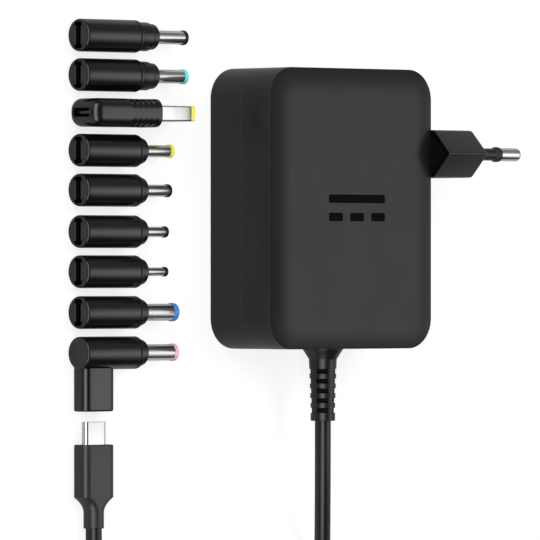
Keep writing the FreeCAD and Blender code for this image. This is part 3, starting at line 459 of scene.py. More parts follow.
def sections(profile: Iterable[Flat], half_a: float, half_b: float, radius: float, centre: Point, axis: Axis,
             share: float = 1.0) -> list[list[Point]]:
    """Sections of a bar with rounded corners.

    Args:
        profile: each section's place along the axis, and how far it is drawn in all round.
        half_a: half the bar's first side.
        half_b: half its second side.
        radius: the radius of its corners.
        centre: where the bar starts.
        axis: the way in which it runs.
        share: how much of the inset the radius loses.

    Returns:
        The sections in order.
    """
    return [laid(rounded_loop(half_a - inset, half_b - inset, radius - inset * share), along, centre, axis)
            for along, inset in profile]


@dataclass
class Form:
    """Points and faces of one piece, in millimetres, with a material number for each face."""

    points: list[Point] = field(default_factory=list)
    faces: list[tuple[int, ...]] = field(default_factory=list)
    marks: list[int] = field(default_factory=list)

    def skin(self, loops: Sequence[Sequence[Point]], start_cap: bool = True, end_cap: bool = True,
             joined: bool = False, mark: int = 0) -> "Form":
        """Joins loops of the same count into one surface.

        Args:
            loops: the sections, in order.
            start_cap: closes the first one.
            end_cap: closes the last one.
            joined: joins the last loop to the first instead, as on a tube.
            mark: the material's number.

        Returns:
            This form, for the next call.
        """
        first = len(self.points)
        count = len(loops[0])
        for loop in loops:
            self.points.extend(loop)
        rows = len(loops) if joined else len(loops) - 1
        for row in range(rows):
            low = first + row * count
            high = first + (row + 1) % len(loops) * count
            for index in range(count):
                after = (index + 1) % count
                self.faces.append((low + index, low + after, high + after, high + index))
        if start_cap and not joined:
            self.faces.append(tuple(range(first + count - 1, first - 1, -1)))
        if end_cap and not joined:
            last = first + (len(loops) - 1) * count
            self.faces.append(tuple(range(last, last + count)))
        self.marks.extend([mark] * (len(self.faces) - len(self.marks)))
        return self

    def turned(self, profile: Iterable[Flat], centre: Point, axis: Axis, joined: bool = False) -> "Form":
        """Turns a profile of distance and radius round an axis; a tube's profile is joined to itself."""
        return self.skin(rings(profile, centre, axis), not joined, not joined, joined)

    def bar(self, half_a: float, half_b: float, radius: float, start: float, end: float, centre: Point,
            axis: Axis, edge: float = 0.1) -> "Form":
        """A bar with rounded corners from start to end, its end edges broken.

        Args:
            half_a: half its first side.
            half_b: half its second side.
            radius: the radius of its corners.
            start: one end, measured along the axis.
            end: the other end.
            centre: where the axis starts.
            axis: the way in which the bar runs.
            edge: the rounding of its end edges.

        Returns:
            This form, for the next call.
        """
        corners = ((start, edge * 2, 0), (start, 0, edge), (end, 0, edge), (end, edge * 2, 0))
        profile = soften(corners, steps=2)
        return self.skin(sections(profile, half_a, half_b, radius, centre, axis))

    def make(self, name: str, *materials: bpy.types.Material) -> bpy.types.Object:
        """Makes the object, with its faces outwards and its shallow edges smooth.

        Args:
            name: the piece's name.
            materials: what the faces' numbers stand for.

        Returns:
            The object, at the origin.
        """
        mesh = bpy.data.meshes.new(name)
        work = bmesh.new()
        corners = [work.verts.new((x * MM, y * MM, z * MM)) for x, y, z in self.points]
        for face, mark in zip(self.faces, self.marks):
            work.faces.new([corners[index] for index in face]).material_index = mark
        bmesh.ops.remove_doubles(work, verts=work.verts, dist=SAME_PLACE)
        bmesh.ops.dissolve_degenerate(work, edges=work.edges, dist=SAME_PLACE)
        bmesh.ops.recalc_face_normals(work, faces=work.faces)
        work.to_mesh(mesh)
        work.free()
        for material in materials:
            mesh.materials.append(material)
        return shown(name, mesh)


def placed(name: str, data: bpy.types.ID) -> bpy.types.Object:
    """Puts a new object into the scene.

    Args:
        name: the object's name.
        data: its mesh, curve, camera or lamp.

    Returns:
        The object.
    """
    thing = bpy.data.objects.new(name, data)
    bpy.context.scene.collection.objects.link(thing)
    return thing


def cleared(piece: bpy.types.Object) -> None:
    """Removes an object and its mesh.

    Args:
        piece: the object, whose mesh nothing else uses.
    """
    mesh = piece.data
    bpy.data.objects.remove(piece)
    bpy.data.meshes.remove(mesh)


def shown(name: str, mesh: bpy.types.Mesh) -> bpy.types.Object:
    """Puts a mesh into the scene under a name, smooth but for its sharp edges.

    Args:
        name: the piece's name.
        mesh: its mesh.

    Returns:
        The object.
    """
    mesh.name = name
    mesh.shade_smooth()
    mesh.set_sharp_from_angle(angle=SHARP_ANGLE)
    return placed(name, mesh)


def settled(piece: bpy.types.Object) -> bpy.types.Object:
    """Turns a piece with modifiers into a plain mesh of the same name.

    Args:
        piece: the object, which is removed.

    Returns:
        A new object that holds the result.
    """
    name = piece.name
    mesh = bpy.data.meshes.new_from_object(piece.evaluated_get(bpy.context.evaluated_depsgraph_get()))
    cleared(piece)
    return shown(name, mesh)


def carved(piece: bpy.types.Object, *cutters: bpy.types.Object, join: bool = False) -> bpy.types.Object:
    """Cuts other objects out of a piece, or joins them to it, and removes them.

    Args:
        piece: the object that is changed.
        cutters: the other objects.
        join: whether they are joined to the piece.

    Returns:
        The changed object, under the same name.
    """
    for cutter in cutters:
        change = piece.modifiers.new(cutter.name, "BOOLEAN")
        change.operation = "UNION" if join else "DIFFERENCE"
        change.solver = "EXACT"
        change.object = cutter
    bpy.context.view_layer.update()
    piece = settled(piece)
    for cutter in cutters:
        cleared(cutter)
    return piece


def joined_meshes(piece: bpy.types.Object, other: bpy.types.Object) -> bpy.types.Object:
    """Adds another object's mesh to a piece as it is, and removes that object.

    Args:
        piece: the object that stays.
        other: the object that is removed.

    Returns:
        The piece.
    """
    work = bmesh.new()
    work.from_mesh(piece.data)
    work.from_mesh(other.data)
    work.to_mesh(piece.data)
    work.free()
    cleared(other)
    return piece


def fitted(piece: bpy.types.Object, body: str, slot: str, *nodes: str) -> bpy.types.Object:
    """Attaches a piece to the body that carries it, hides the CAD nodes that it replaces and logs its slot.

    Args:
        piece: the finished object.
        body: the CAD body that carries it.
        slot: the material slot's name, for the log.
        nodes: the CAD nodes that it replaces.

    Returns:
        The piece.
    """
    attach(piece, body)
    if nodes:
        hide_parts(*nodes)
    log.info("%s rides on %s in %s", piece.name, body, slot)
    return piece


def dress(node: str, material: bpy.types.Material) -> bpy.types.Object:
    """Gives a CAD node that stays in view its finish, through its object's own slots.

    Args:
        node: the node's name.
        material: its finish.

    Returns:
        The node's object.
    """
    piece = frame["nodes"][node]
    if not piece.material_slots:
        piece.data.materials.append(material)
    for slot in piece.material_slots:
        slot.link = "OBJECT"
        slot.material = material
    log.info("%s dressed in %s", node, material.name)
    return piece


# What repeats

class Repeat(Nodes):
    """A Geometry Nodes tree for rows of blocks, built once, applied to an object and then left out."""

    INPUTS = {"Geometry": "NodeSocketGeometry", "Count": "NodeSocketInt", "Start": "NodeSocketVector",
              "Pitch": "NodeSocketVector", "Size": "NodeSocketVector", "Material": "NodeSocketMaterial"}

    def __init__(self, name: str, other: str) -> None:
        """Starts a tree with a mesh and the row's sizes going in and a mesh coming out.

        Args:
            name: the tree's name.
            other: the name of the one vector that this tree alone takes.
        """
        super().__init__(bpy.data.node_groups.new(name, "GeometryNodeTree"))
        face = self.tree.interface
        self.sockets = {given: face.new_socket(name=given, in_out="INPUT", socket_type=kind).identifier
                        for given, kind in {**self.INPUTS, other: "NodeSocketVector"}.items()}
        face.new_socket(name="Geometry", in_out="OUTPUT", socket_type="NodeSocketGeometry")
        self.start = self.add("NodeGroupInput")
        self.end = self.add("NodeGroupOutput")
        self.block = self.add("GeometryNodeMeshCube", None, {"Size": self.given("Size")})

    def given(self, name: str) -> bpy.types.NodeSocket:
        """The socket inside the tree that carries a named input."""
        return self.start.outputs[name]

    def row(self, start: bpy.types.NodeSocket) -> bpy.types.NodeSocket:
        """Copies of the block in a row from a place, as many and as far apart as the inputs say.

        Args:
            start: the socket that gives the place.

        Returns:
            The socket that gives the copies.
        """
        line = self.add("GeometryNodeMeshLine", {"mode": "OFFSET"}, {
            "Count": self.given("Count"), "Start Location": start, "Offset": self.given("Pitch")})
        copies = self.add("GeometryNodeInstanceOnPoints", None, {
            "Points": line.outputs[0], "Instance": self.block.outputs[0]})
        return copies.outputs[0]

    def finish(self, geometry: bpy.types.NodeSocket) -> None:
        """Ends the tree in plain geometry with the material that was given.

        Args:
            geometry: the socket that gives the result.
        """
        plain = self.add("GeometryNodeRealizeInstances", None, {0: geometry})
        coloured = self.add("GeometryNodeSetMaterial", None,
                            {"Geometry": plain.outputs[0], "Material": self.given("Material")})
        self.tree.links.new(coloured.outputs[0], self.end.inputs[0])

    def apply(self, piece: bpy.types.Object, count: int, material: bpy.types.Material,
              places: dict[str, Sequence[float]]) -> bpy.types.Object:
        """Runs the tree on a piece.

        Args:
            piece: the object, which is removed.
            count: how many blocks stand in a row.
            material: what the result is made of.
            places: the tree's vectors by name, in millimetres.

        Returns:
            The plain result, under the same name.
        """
        change = piece.modifiers.new(self.tree.name, "NODES")
        change.node_group = self.tree
        change[self.sockets["Count"]] = count
        change[self.sockets["Material"]] = material
        for name, place in places.items():
            change[self.sockets[name]] = Vector(place) * MM
        bpy.context.view_layer.update()
        return settled(piece)


class SlotRows(Repeat):
    """Cuts a row of slots into a boot from each of its four diagonals."""

    DIAGONALS = (45, 135, 225, 315)

    def __init__(self) -> None:
        """Builds the tree."""
        super().__init__("slot_rows", "Axis")
        row = self.row(self.given("Start"))
        cutters = self.add("GeometryNodeJoinGeometry")
        for degrees in self.DIAGONALS:
            turned = self.add("GeometryNodeTransform", None,
                              {"Geometry": row, "Translation": self.given("Axis"),
                               "Rotation": (0, math.radians(degrees), 0)})
            self.tree.links.new(turned.outputs[0], cutters.inputs[0])
        solid = self.add("GeometryNodeRealizeInstances", None, {0: cutters.outputs[0]})
        cut = self.add("GeometryNodeMeshBoolean", {"operation": "DIFFERENCE", "solver": "EXACT"},
                       {"Mesh 1": self.given("Geometry"), "Mesh 2": solid.outputs[0]})
        self.finish(cut.outputs[0])


class ContactRow(Repeat):
    """Two facing rows of thin contact strips, as in the small symmetric plug and its sockets."""

    COUNT = 12
    PITCH = 0.5
    WIDTH = 0.24
    THICKNESS = 0.06

    def __init__(self) -> None:
        """Builds the tree."""
        super().__init__("contact_rows", "Apart")
        both = self.add("GeometryNodeJoinGeometry")
        for side in (0.5, -0.5):
            half = self.add("ShaderNodeVectorMath", {"operation": "SCALE"}, {
                0: self.given("Apart"), "Scale": side})
            place = self.add("ShaderNodeVectorMath", {"operation": "ADD"}, {
                0: self.given("Start"), 1: half.outputs[0]})
            self.tree.links.new(self.row(place.outputs[0]), both.inputs[0])
        self.finish(both.outputs[0])

    def strips(self, name: str, middle: Point, length: float, apart: float, along: Point, across: Point,
               material: bpy.types.Material) -> bpy.types.Object:
        """Makes one pair of rows.

        Args:
            name: the piece's name.
            middle: the middle between both rows.
            length: of each strip.
            apart: from the middle of one row to the other's.
            along: the axis along which the strips lie.
            across: the axis along which they follow each other.
            material: what they are made of.

        Returns:
            The strips as one mesh.
        """
        along, across = Vector(along), Vector(across)
        out = Vector((1, 1, 1)) - along - across
        pitch = across * self.PITCH
        seed = placed(name, bpy.data.meshes.new(name))
        return self.apply(seed, self.COUNT, material, {
            "Start": Vector(middle) - pitch * (self.COUNT - 1) / 2, "Pitch": pitch,
            "Size": along * length + across * self.WIDTH + out * self.THICKNESS, "Apart": out * apart})


# The adapter's own pieces

@dataclass
class Case:
    """Two welded half shells with a softly crowned front, and the generic sign on it."""

    palette: Palette
    half_width: float = 32.5
    half_height: float = 41.6
    depth: float = 28.0
    corner: float = 9.0
    wall: float = 2.2
    back_edge: float = 0.8
    back_flat: float = 1.2
    parting: float = 13.6
    seam: float = 0.08
    seam_flat: float = 0.4
    crown_width: float = 8.2
    crown_drop: float = 1.6
    crown_steps: int = 10
    crease_edge: float = 0.12
    lip_wall: float = 0.9
    lip_height: float = 1.6
    lip_edge: float = 0.1
    lip_fit: float = 0.05
    post: Point = (24.1, 34.6, 2.6)  # right, up and radius
    post_top: float = 6.0
    post_edge: float = 0.2
    post_sunk: float = 0.3
    peg: Flat = (1.1, 7.6)  # radius and top
    peg_edge: float = 0.3
    opening_height: float = 14.0
    cord_hole: float = 4.65
    cord_hole_inset: float = 3.0
    cord_hole_reach: Flat = (-1.0, 4.0)  # from its inset, downwards
    window: Point = (4.55, 6.05, 0.3)  # half width, half depth and corner
    window_y: float = 16.6
    window_reach: Flat = (-3.4, 1.0)  # from the side wall, outwards
    window_edge: float = 0.01
    sign_middle: Flat = (1.0, 0.2)  # right and up
    sign_bar: Point = (11.2, 1.25, 0.45)  # half length, half width and corner
    sign_dash: float = 2.75
    sign_pitch: float = 8.45
    sign_row: float = 2.7
    sign_reach: Flat = (-0.01, 0.05)  # under and over the face
    sign_edge: float = 0.02

    def shell(self, profile: Iterable[Flat]) -> Form:
        """Lofts a half from its section's points, each an inset and a height.

        Args:
            profile: the section's points.

        Returns:
            The half's form.
        """
        heights = [(height, inset) for inset, height in profile]
        return Form().skin(sections(heights, self.half_width, self.half_height, self.corner, (0, 0, 0),
                                    Axis.FRONT))

    def openings(self, name: str) -> list[bpy.types.Object]:
        """Cutters for the cord's round hole and the window of the plug's insert.

        Args:
            name: the half that they cut.

        Returns:
            Both cutters.
        """
        below = (0, self.cord_hole_inset - self.half_height, self.opening_height)
        beside = (self.half_width, self.window_y, self.opening_height)
        hole = Form().turned([(along, self.cord_hole) for along in self.cord_hole_reach], below, Axis.DOWN)
        window = Form().bar(*self.window, *self.window_reach, beside, Axis.RIGHT, self.window_edge)
        return [hole.make(f"{name}_hole"), window.make(f"{name}_window")]

    def crown(self, step: int) -> float:
        """Height of the front, so many steps in from the crease."""
        share = 1 - step / self.crown_steps
        return self.depth - self.crown_drop * share * share

    def front(self) -> bpy.types.Object:
        """The front half, whose face falls away to a crease on all four sides.

        Returns:
            The half before it is cut.
        """
        ceiling, crease = self.depth - self.wall, self.depth - self.crown_drop
        lip, foot = self.wall - self.lip_wall, self.parting - self.lip_height
        crown = [(self.crown_width * step / self.crown_steps, self.crown(step))
                 for step in range(1, self.crown_steps + 1)]
        section = soften(((self.wall, ceiling, 0), (self.wall, foot, self.lip_edge),
                          (lip, foot, self.lip_edge), (lip, self.parting, 0), (0, self.parting, self.seam),
                          (0, self.parting + self.seam_flat, 0), (0, crease, self.crease_edge),
                          (*crown[0], 0)))
        return self.shell([*section, *crown[1:]]).make("case_front", self.palette["case"])

    def rear(self) -> bpy.types.Object:
        """The rear half, with four posts and pegs for the board.

        Returns:
            The half before it is cut.
        """
        rebate = self.wall - self.lip_wall - self.lip_fit
        foot = self.parting - self.lip_height - self.lip_fit
        form = self.shell(soften(((self.wall, self.wall, 0), (self.wall, foot, 0), (rebate, foot, 0),
                                  (rebate, self.parting, 0), (0, self.parting, self.seam),
                                  (0, self.parting - self.seam_flat, 0), (0, self.back_flat, 0),
                                  (0, 0, self.back_edge), (self.corner / 2, 0, 0))))
        x, y, radius = self.post
        peg_radius, peg_top = self.peg
        profile = soften(((self.wall - self.post_sunk, radius, 0), (self.post_top, radius, self.post_edge),
                          (self.post_top, peg_radius, 0), (peg_top, peg_radius, self.peg_edge),
                          (peg_top, self.peg_edge, 0)))
        for side_x in (-1, 1):
            for side_y in (-1, 1):
                form.turned(profile, (x * side_x, y * side_y, 0), Axis.FRONT)
        return form.make("case_rear", self.palette["case"])

    def sign(self) -> bpy.types.Object:
        """The general sign for direct current: one long bar over three short ones.

        Returns:
            The sign.
        """
        form = Form()
        x, y = self.sign_middle
        half_length, half_width, corner = self.sign_bar
        bars = [(half_length, x, y + self.sign_row)]
        bars += [(self.sign_dash, x + step * self.sign_pitch, y - self.sign_row) for step in (-1, 0, 1)]
        for half, place_x, place_y in bars:
            form.bar(half, half_width, corner, *self.sign_reach, (place_x, place_y, self.depth), Axis.FRONT,
                     self.sign_edge)
        return form.make("current_sign", self.palette["ink"])

    def build(self) -> None:
        """Makes the halves and the sign."""
        for name, half in (("front", self.front()), ("rear", self.rear())):
            fitted(carved(half, *self.openings(name)), "adapter", "case", f"{name}_shell")
        fitted(self.sign(), "adapter", "black_insert")


@dataclass
class MainsPlug:
    """The six-sided plug housing, the black insert in it, and two pins in their sleeves."""

    palette: Palette
    start: float = 32.5
    length: float = 16.0
    half: float = 7.1
    span: float = 17.3
    y: float = 16.6
    z: float = 17.6
    wall: float = 1.6
    end_wall: float = 3.0
    end_inset: float = 2.5
    base_edge: float = 0.25
    edge: float = 1.6
    flank_round: float = 1.9
    point_round: float = 0.8
    least_round: float = 0.15
    pin_side: float = 9.5
    pin_root: float = 7.0
    pin_reach: float = 19.0
    pin_point: float = 1.9
    pin_edge: float = 0.15
    pin_ends: Flat = (0.3, 0.05)  # radius of the flats at the root and at the point
    bare: float = 8.0
    core: float = 1.35
    core_edge: float = 0.1
    radius: float = 2.0
    sleeve: float = 1.85
    clear: float = 0.05
    hole_reach: Flat = (-4.5, 1.0)  # from the housing's end, outwards
    collar: float = 2.3
    collar_cone: Flat = (2.3, 1.6)  # its start and end, back from the bare pin
    collar_edges: Point = (0.5, 0.6, 0.7)  # along the cone and at the bare pin

    @property
    def end(self) -> float:
        """Where the housing ends."""
        return self.start + self.length

    @property
    def shoulder(self) -> float:
        """Where the sleeves end and the pins stand bare."""
        return self.end + self.pin_reach - self.bare

    @property
    def axes(self) -> list[Point]:
        """Where the two pins' axes start."""
        return [(0, self.y, self.z + side) for side in (-self.pin_side, self.pin_side)]

    def outline(self, inset: float) -> list[Flat]:
        """The section: a flat bar whose narrow ends come to a point at 45 degrees.

        Args:
            inset: how far it is drawn in all round.

        Returns:
            The section's points.
        """
        flank, tip = (max(self.least_round, rounding - inset)
                      for rounding in (self.flank_round, self.point_round))
        across = self.half - inset
        shoulder = self.span - self.half - inset * (math.sqrt(2) - 1)
        point = self.span - inset * math.sqrt(2)
        corners = ((0, -point, tip), (across, -shoulder, flank), (across, shoulder, flank), (0, point, tip),
                   (-across, shoulder, flank), (-across, -shoulder, flank))
        return soften(corners, closed=True, steps=6)

    def housing(self) -> bpy.types.Object:
        """The hollow housing, with a hole for each sleeve, and painted shade in near-black ink on its open
        back.

        Returns:
            The housing.
        """
        profile = soften(((self.end - self.end_wall, self.wall, 0), (self.start, self.wall, 0),
                          (self.start, 0, self.base_edge), (self.end, 0, self.edge),
                          (self.end, self.end_inset, 0)), steps=6)
        loops = [laid(self.outline(inset), along, (0, self.y, self.z), Axis.RIGHT)
                 for along, inset in profile]
        # The inside and the back end face take near-black ink: painted shade where the housing stands out from
        # the case.
        form = Form().skin(loops[:3], end_cap=False, mark=1).skin(loops[2:], start_cap=False)
        hole = [(self.end + along, self.sleeve + self.clear) for along in self.hole_reach]
        holes = [Form().turned(hole, centre, Axis.RIGHT).make("pin_hole") for centre in self.axes]
        return carved(form.make("plug_housing", self.palette["plug_case"], self.palette["ink"]), *holes)

    def both(self, profile: Sequence[Flat], joined: bool = False) -> Form:
        """Turns a profile round the axis of each pin.

        Args:
            profile: points of distance and radius.
            joined: joins the profile to itself, as on a tube.

        Returns:
            The form of both.
        """
        form = Form()
        for centre in self.axes:
            form.turned(profile, centre, Axis.RIGHT, joined)
        return form

    def pins(self) -> bpy.types.Object:
        """The two pins, thinner in their sleeves than at their bare ends.

        Returns:
            Both pins as one mesh.
        """
        root, tip = self.start + self.pin_root, self.end + self.pin_reach
        foot, point = self.pin_ends
        profile = soften(((root, foot, 0), (root, self.core, self.core_edge), (self.shoulder, self.core, 0),
                          (self.shoulder, self.radius, self.pin_edge), (tip, self.radius, self.pin_point),
                          (tip, point, 0)), steps=8)
        return self.both(profile).make("bare_pins", self.palette["pin_metal"])

    def sleeves(self) -> bpy.types.Object:
        """The two sleeves, which widen to a collar beside the bare ends.

        Returns:
            Both sleeves as one mesh.
        """
        inner, bore = self.end - self.end_wall, self.core + self.clear
        cone_start, cone_end = (self.shoulder - reach for reach in self.collar_cone)
        first, second, third = self.collar_edges
        profile = soften(((inner, bore, 0), (inner, self.sleeve, 0), (cone_start, self.sleeve, first),
                          (cone_end, self.collar, second), (self.shoulder, self.collar, third),
                          (self.shoulder, bore, 0)), closed=True)
        return self.both(profile, joined=True).make("sleeved_shanks", self.palette["sleeve_plastic"])

    def build(self) -> None:
        """Makes the housing, the pins and the sleeves and dresses the insert."""
        fitted(self.housing(), "adapter", "case", "plug_body")
        fitted(self.pins(), "adapter", "pin_metal", "mains_pins")
        fitted(self.sleeves(), "adapter", "sleeve_plastic", "pin_sleeves")
        dress("contact_carrier", self.palette["black_insert"])
        dress("contact_strips", self.palette["brass"])


@dataclass
class StrainRelief:
    """The boot at the cord's exit, turned from corners of distance, radius and rounding, and then slotted."""

    palette: Palette
    start: Point = (0, -41.6, 14.0)
    profile: tuple[Point, ...] = (
        (-4.25, 1.95, 0), (21.5, 1.95, 0.2), (21.5, 3.68, 0.3), (19.2, 3.68, 0.1), (19.2, 3.62, 0.1),
        (3.2, 4.15, 0.4), (1.6, 5.12, 0.6), (0.0, 6.2, 0.15), (0.0, 4.6, 0), (-2.25, 4.6, 0),
        (-2.25, 5.4, 0.2), (-4.25, 5.4, 0.3))
    count: int = 5
    pitch: float = 2.9
    slot: Flat = (3.4, 1.5)  # width and height
    first: float = 6.0
    core: float = 2.45
    outside: float = 7.0
    # The slots' floors and walls between these distances get painted shade in near-black ink.
    painted_shade_band: Flat = (2.25, 3.35)  # from and to this distance from the axis
    painted_shade_margin: float = 1.0

    def paint_slot_shade(self, boot: bpy.types.Object) -> None:
        """Paints shade on the floors and walls of the slots, where no light gets in, in the near-black ink
        finish.

        Args:
            boot: the slotted boot.
        """
        boot.data.materials.append(self.palette["ink"])
        _, exit_y, axis_height = self.start
        low, high = self.painted_shade_band
        for face in boot.data.polygons:
            place = face.center / MM
            distance = math.hypot(place.x, place.z - axis_height)
            if low < distance < high and place.y < exit_y - self.first + self.painted_shade_margin:
                face.material_index = len(boot.data.materials) - 1

    def build(self) -> None:
        """Turns the boot and cuts its slots."""
        form = Form().turned(soften(self.profile, closed=True), self.start, Axis.DOWN, joined=True)
        width, height = self.slot
        x, y, z = self.start
        boot = SlotRows().apply(form.make("strain_boot"), self.count, self.palette["boot_rubber"], {
            "Start": (0, y - self.first - height / 2, (self.core + self.outside) / 2),
            "Pitch": (0, -self.pitch, 0),
            "Size": (width, height, self.outside - self.core),
            "Axis": (x, 0, z)})
        self.paint_slot_shade(boot)
        fitted(boot, "adapter", "cord_rubber", "strain_relief")


@dataclass
class FarPlug:
    """The small symmetric plug at the cord's far end."""

    palette: Palette
    mouth: Point = (-80.5, -62.5, 3.25)
    half_width: float = 4.125
    half_height: float = 1.2
    shell_wall: float = 0.25
    shell_edge: float = 0.12
    shell_length: float = 6.65
    seat: float = 5.0
    clear: float = 0.05
    housing: Point = (6.175, 3.25, 2.6)  # half width, half height and corner
    housing_length: float = 15.4
    front_inset: float = 1.2
    front_edge: float = 0.45
    taper: float = 4.6
    taper_steps: int = 12
    taper_power: float = 2.1
    neck: Flat = (3.0, 4.5)  # radius and length
    neck_edge: float = 0.25
    neck_inset: float = 0.55
    strips_place: float = 2.6
    strips_length: float = 3.2
    strips_apart: float = 0.92

    def shell(self) -> bpy.types.Object:
        """The drawn metal shell, open at its mouth.

        Returns:
            The shell.
        """
        wall, edge = self.shell_wall, self.shell_edge
        long = self.shell_length + self.seat
        profile = soften(((0, 0, edge), (long, 0, 0), (long, wall, 0), (0, wall, edge)), closed=True, steps=3)
        loops = sections(profile, self.half_width, self.half_height, self.half_height, self.mouth, Axis.DOWN)
        return Form().skin(loops, joined=True).make("plug_shell", self.palette["plug_metal"])

    def grip(self) -> bpy.types.Object:
        """The housing with flat faces, its hollow taper and the round neck.

        Returns:
            The housing with its neck.
        """
        half_a, half_b, corner = self.housing
        neck, neck_length = self.neck
        front, back = self.shell_length, self.shell_length + self.housing_length
        start, end = back + self.taper, back + self.taper + neck_length
        cavity_a, cavity_b = self.half_width + self.clear, self.half_height + self.clear
        cavity = ((front + self.seat, 0), (front, 0))
        loops = sections(cavity, cavity_a, cavity_b, cavity_b, self.mouth, Axis.DOWN)
        profile = soften(((front, self.front_inset, 0), (front, 0, self.front_edge), (back, 0, 0)), steps=5)
        loops += sections(profile[:-1], half_a, half_b, corner, self.mouth, Axis.DOWN)
        for step in range(self.taper_steps + 1):
            share = step / self.taper_steps
            narrow = 1 - (1 - share) ** self.taper_power
            sizes = (size + (neck - size) * narrow for size in self.housing)
            loops += sections(((back + self.taper * share, 0),), *sizes, self.mouth, Axis.DOWN)
        loops += sections(soften(((start, 0, 0), (end, 0, self.neck_edge), (end, self.neck_inset, 0))),
                          neck, neck, neck, self.mouth, Axis.DOWN)
        return Form().skin(loops).make("plug_grip", self.palette["plug_plastic"])

    def build(self, contacts: ContactRow) -> list[bpy.types.Object]:
        """Makes the plug's pieces.

        Args:
            contacts: what makes the rows of contacts.

        Returns:
            The pieces.
        """
        shell = fitted(self.shell(), "adapter", "plug_metal", "usb_shell")
        grip = fitted(self.grip(), "adapter", "cord_plug_plastic", "usb_housing")
        x, y, z = self.mouth
        strips = contacts.strips("plug_contacts", (x, y - self.strips_place, z), self.strips_length,
                                 self.strips_apart, (0, 1, 0), (1, 0, 0), self.palette["gold"])
        fitted(strips, "adapter", "brass")
        insert = dress("usb_insert", self.palette["black_insert"])
        return [shell, grip, strips, insert]


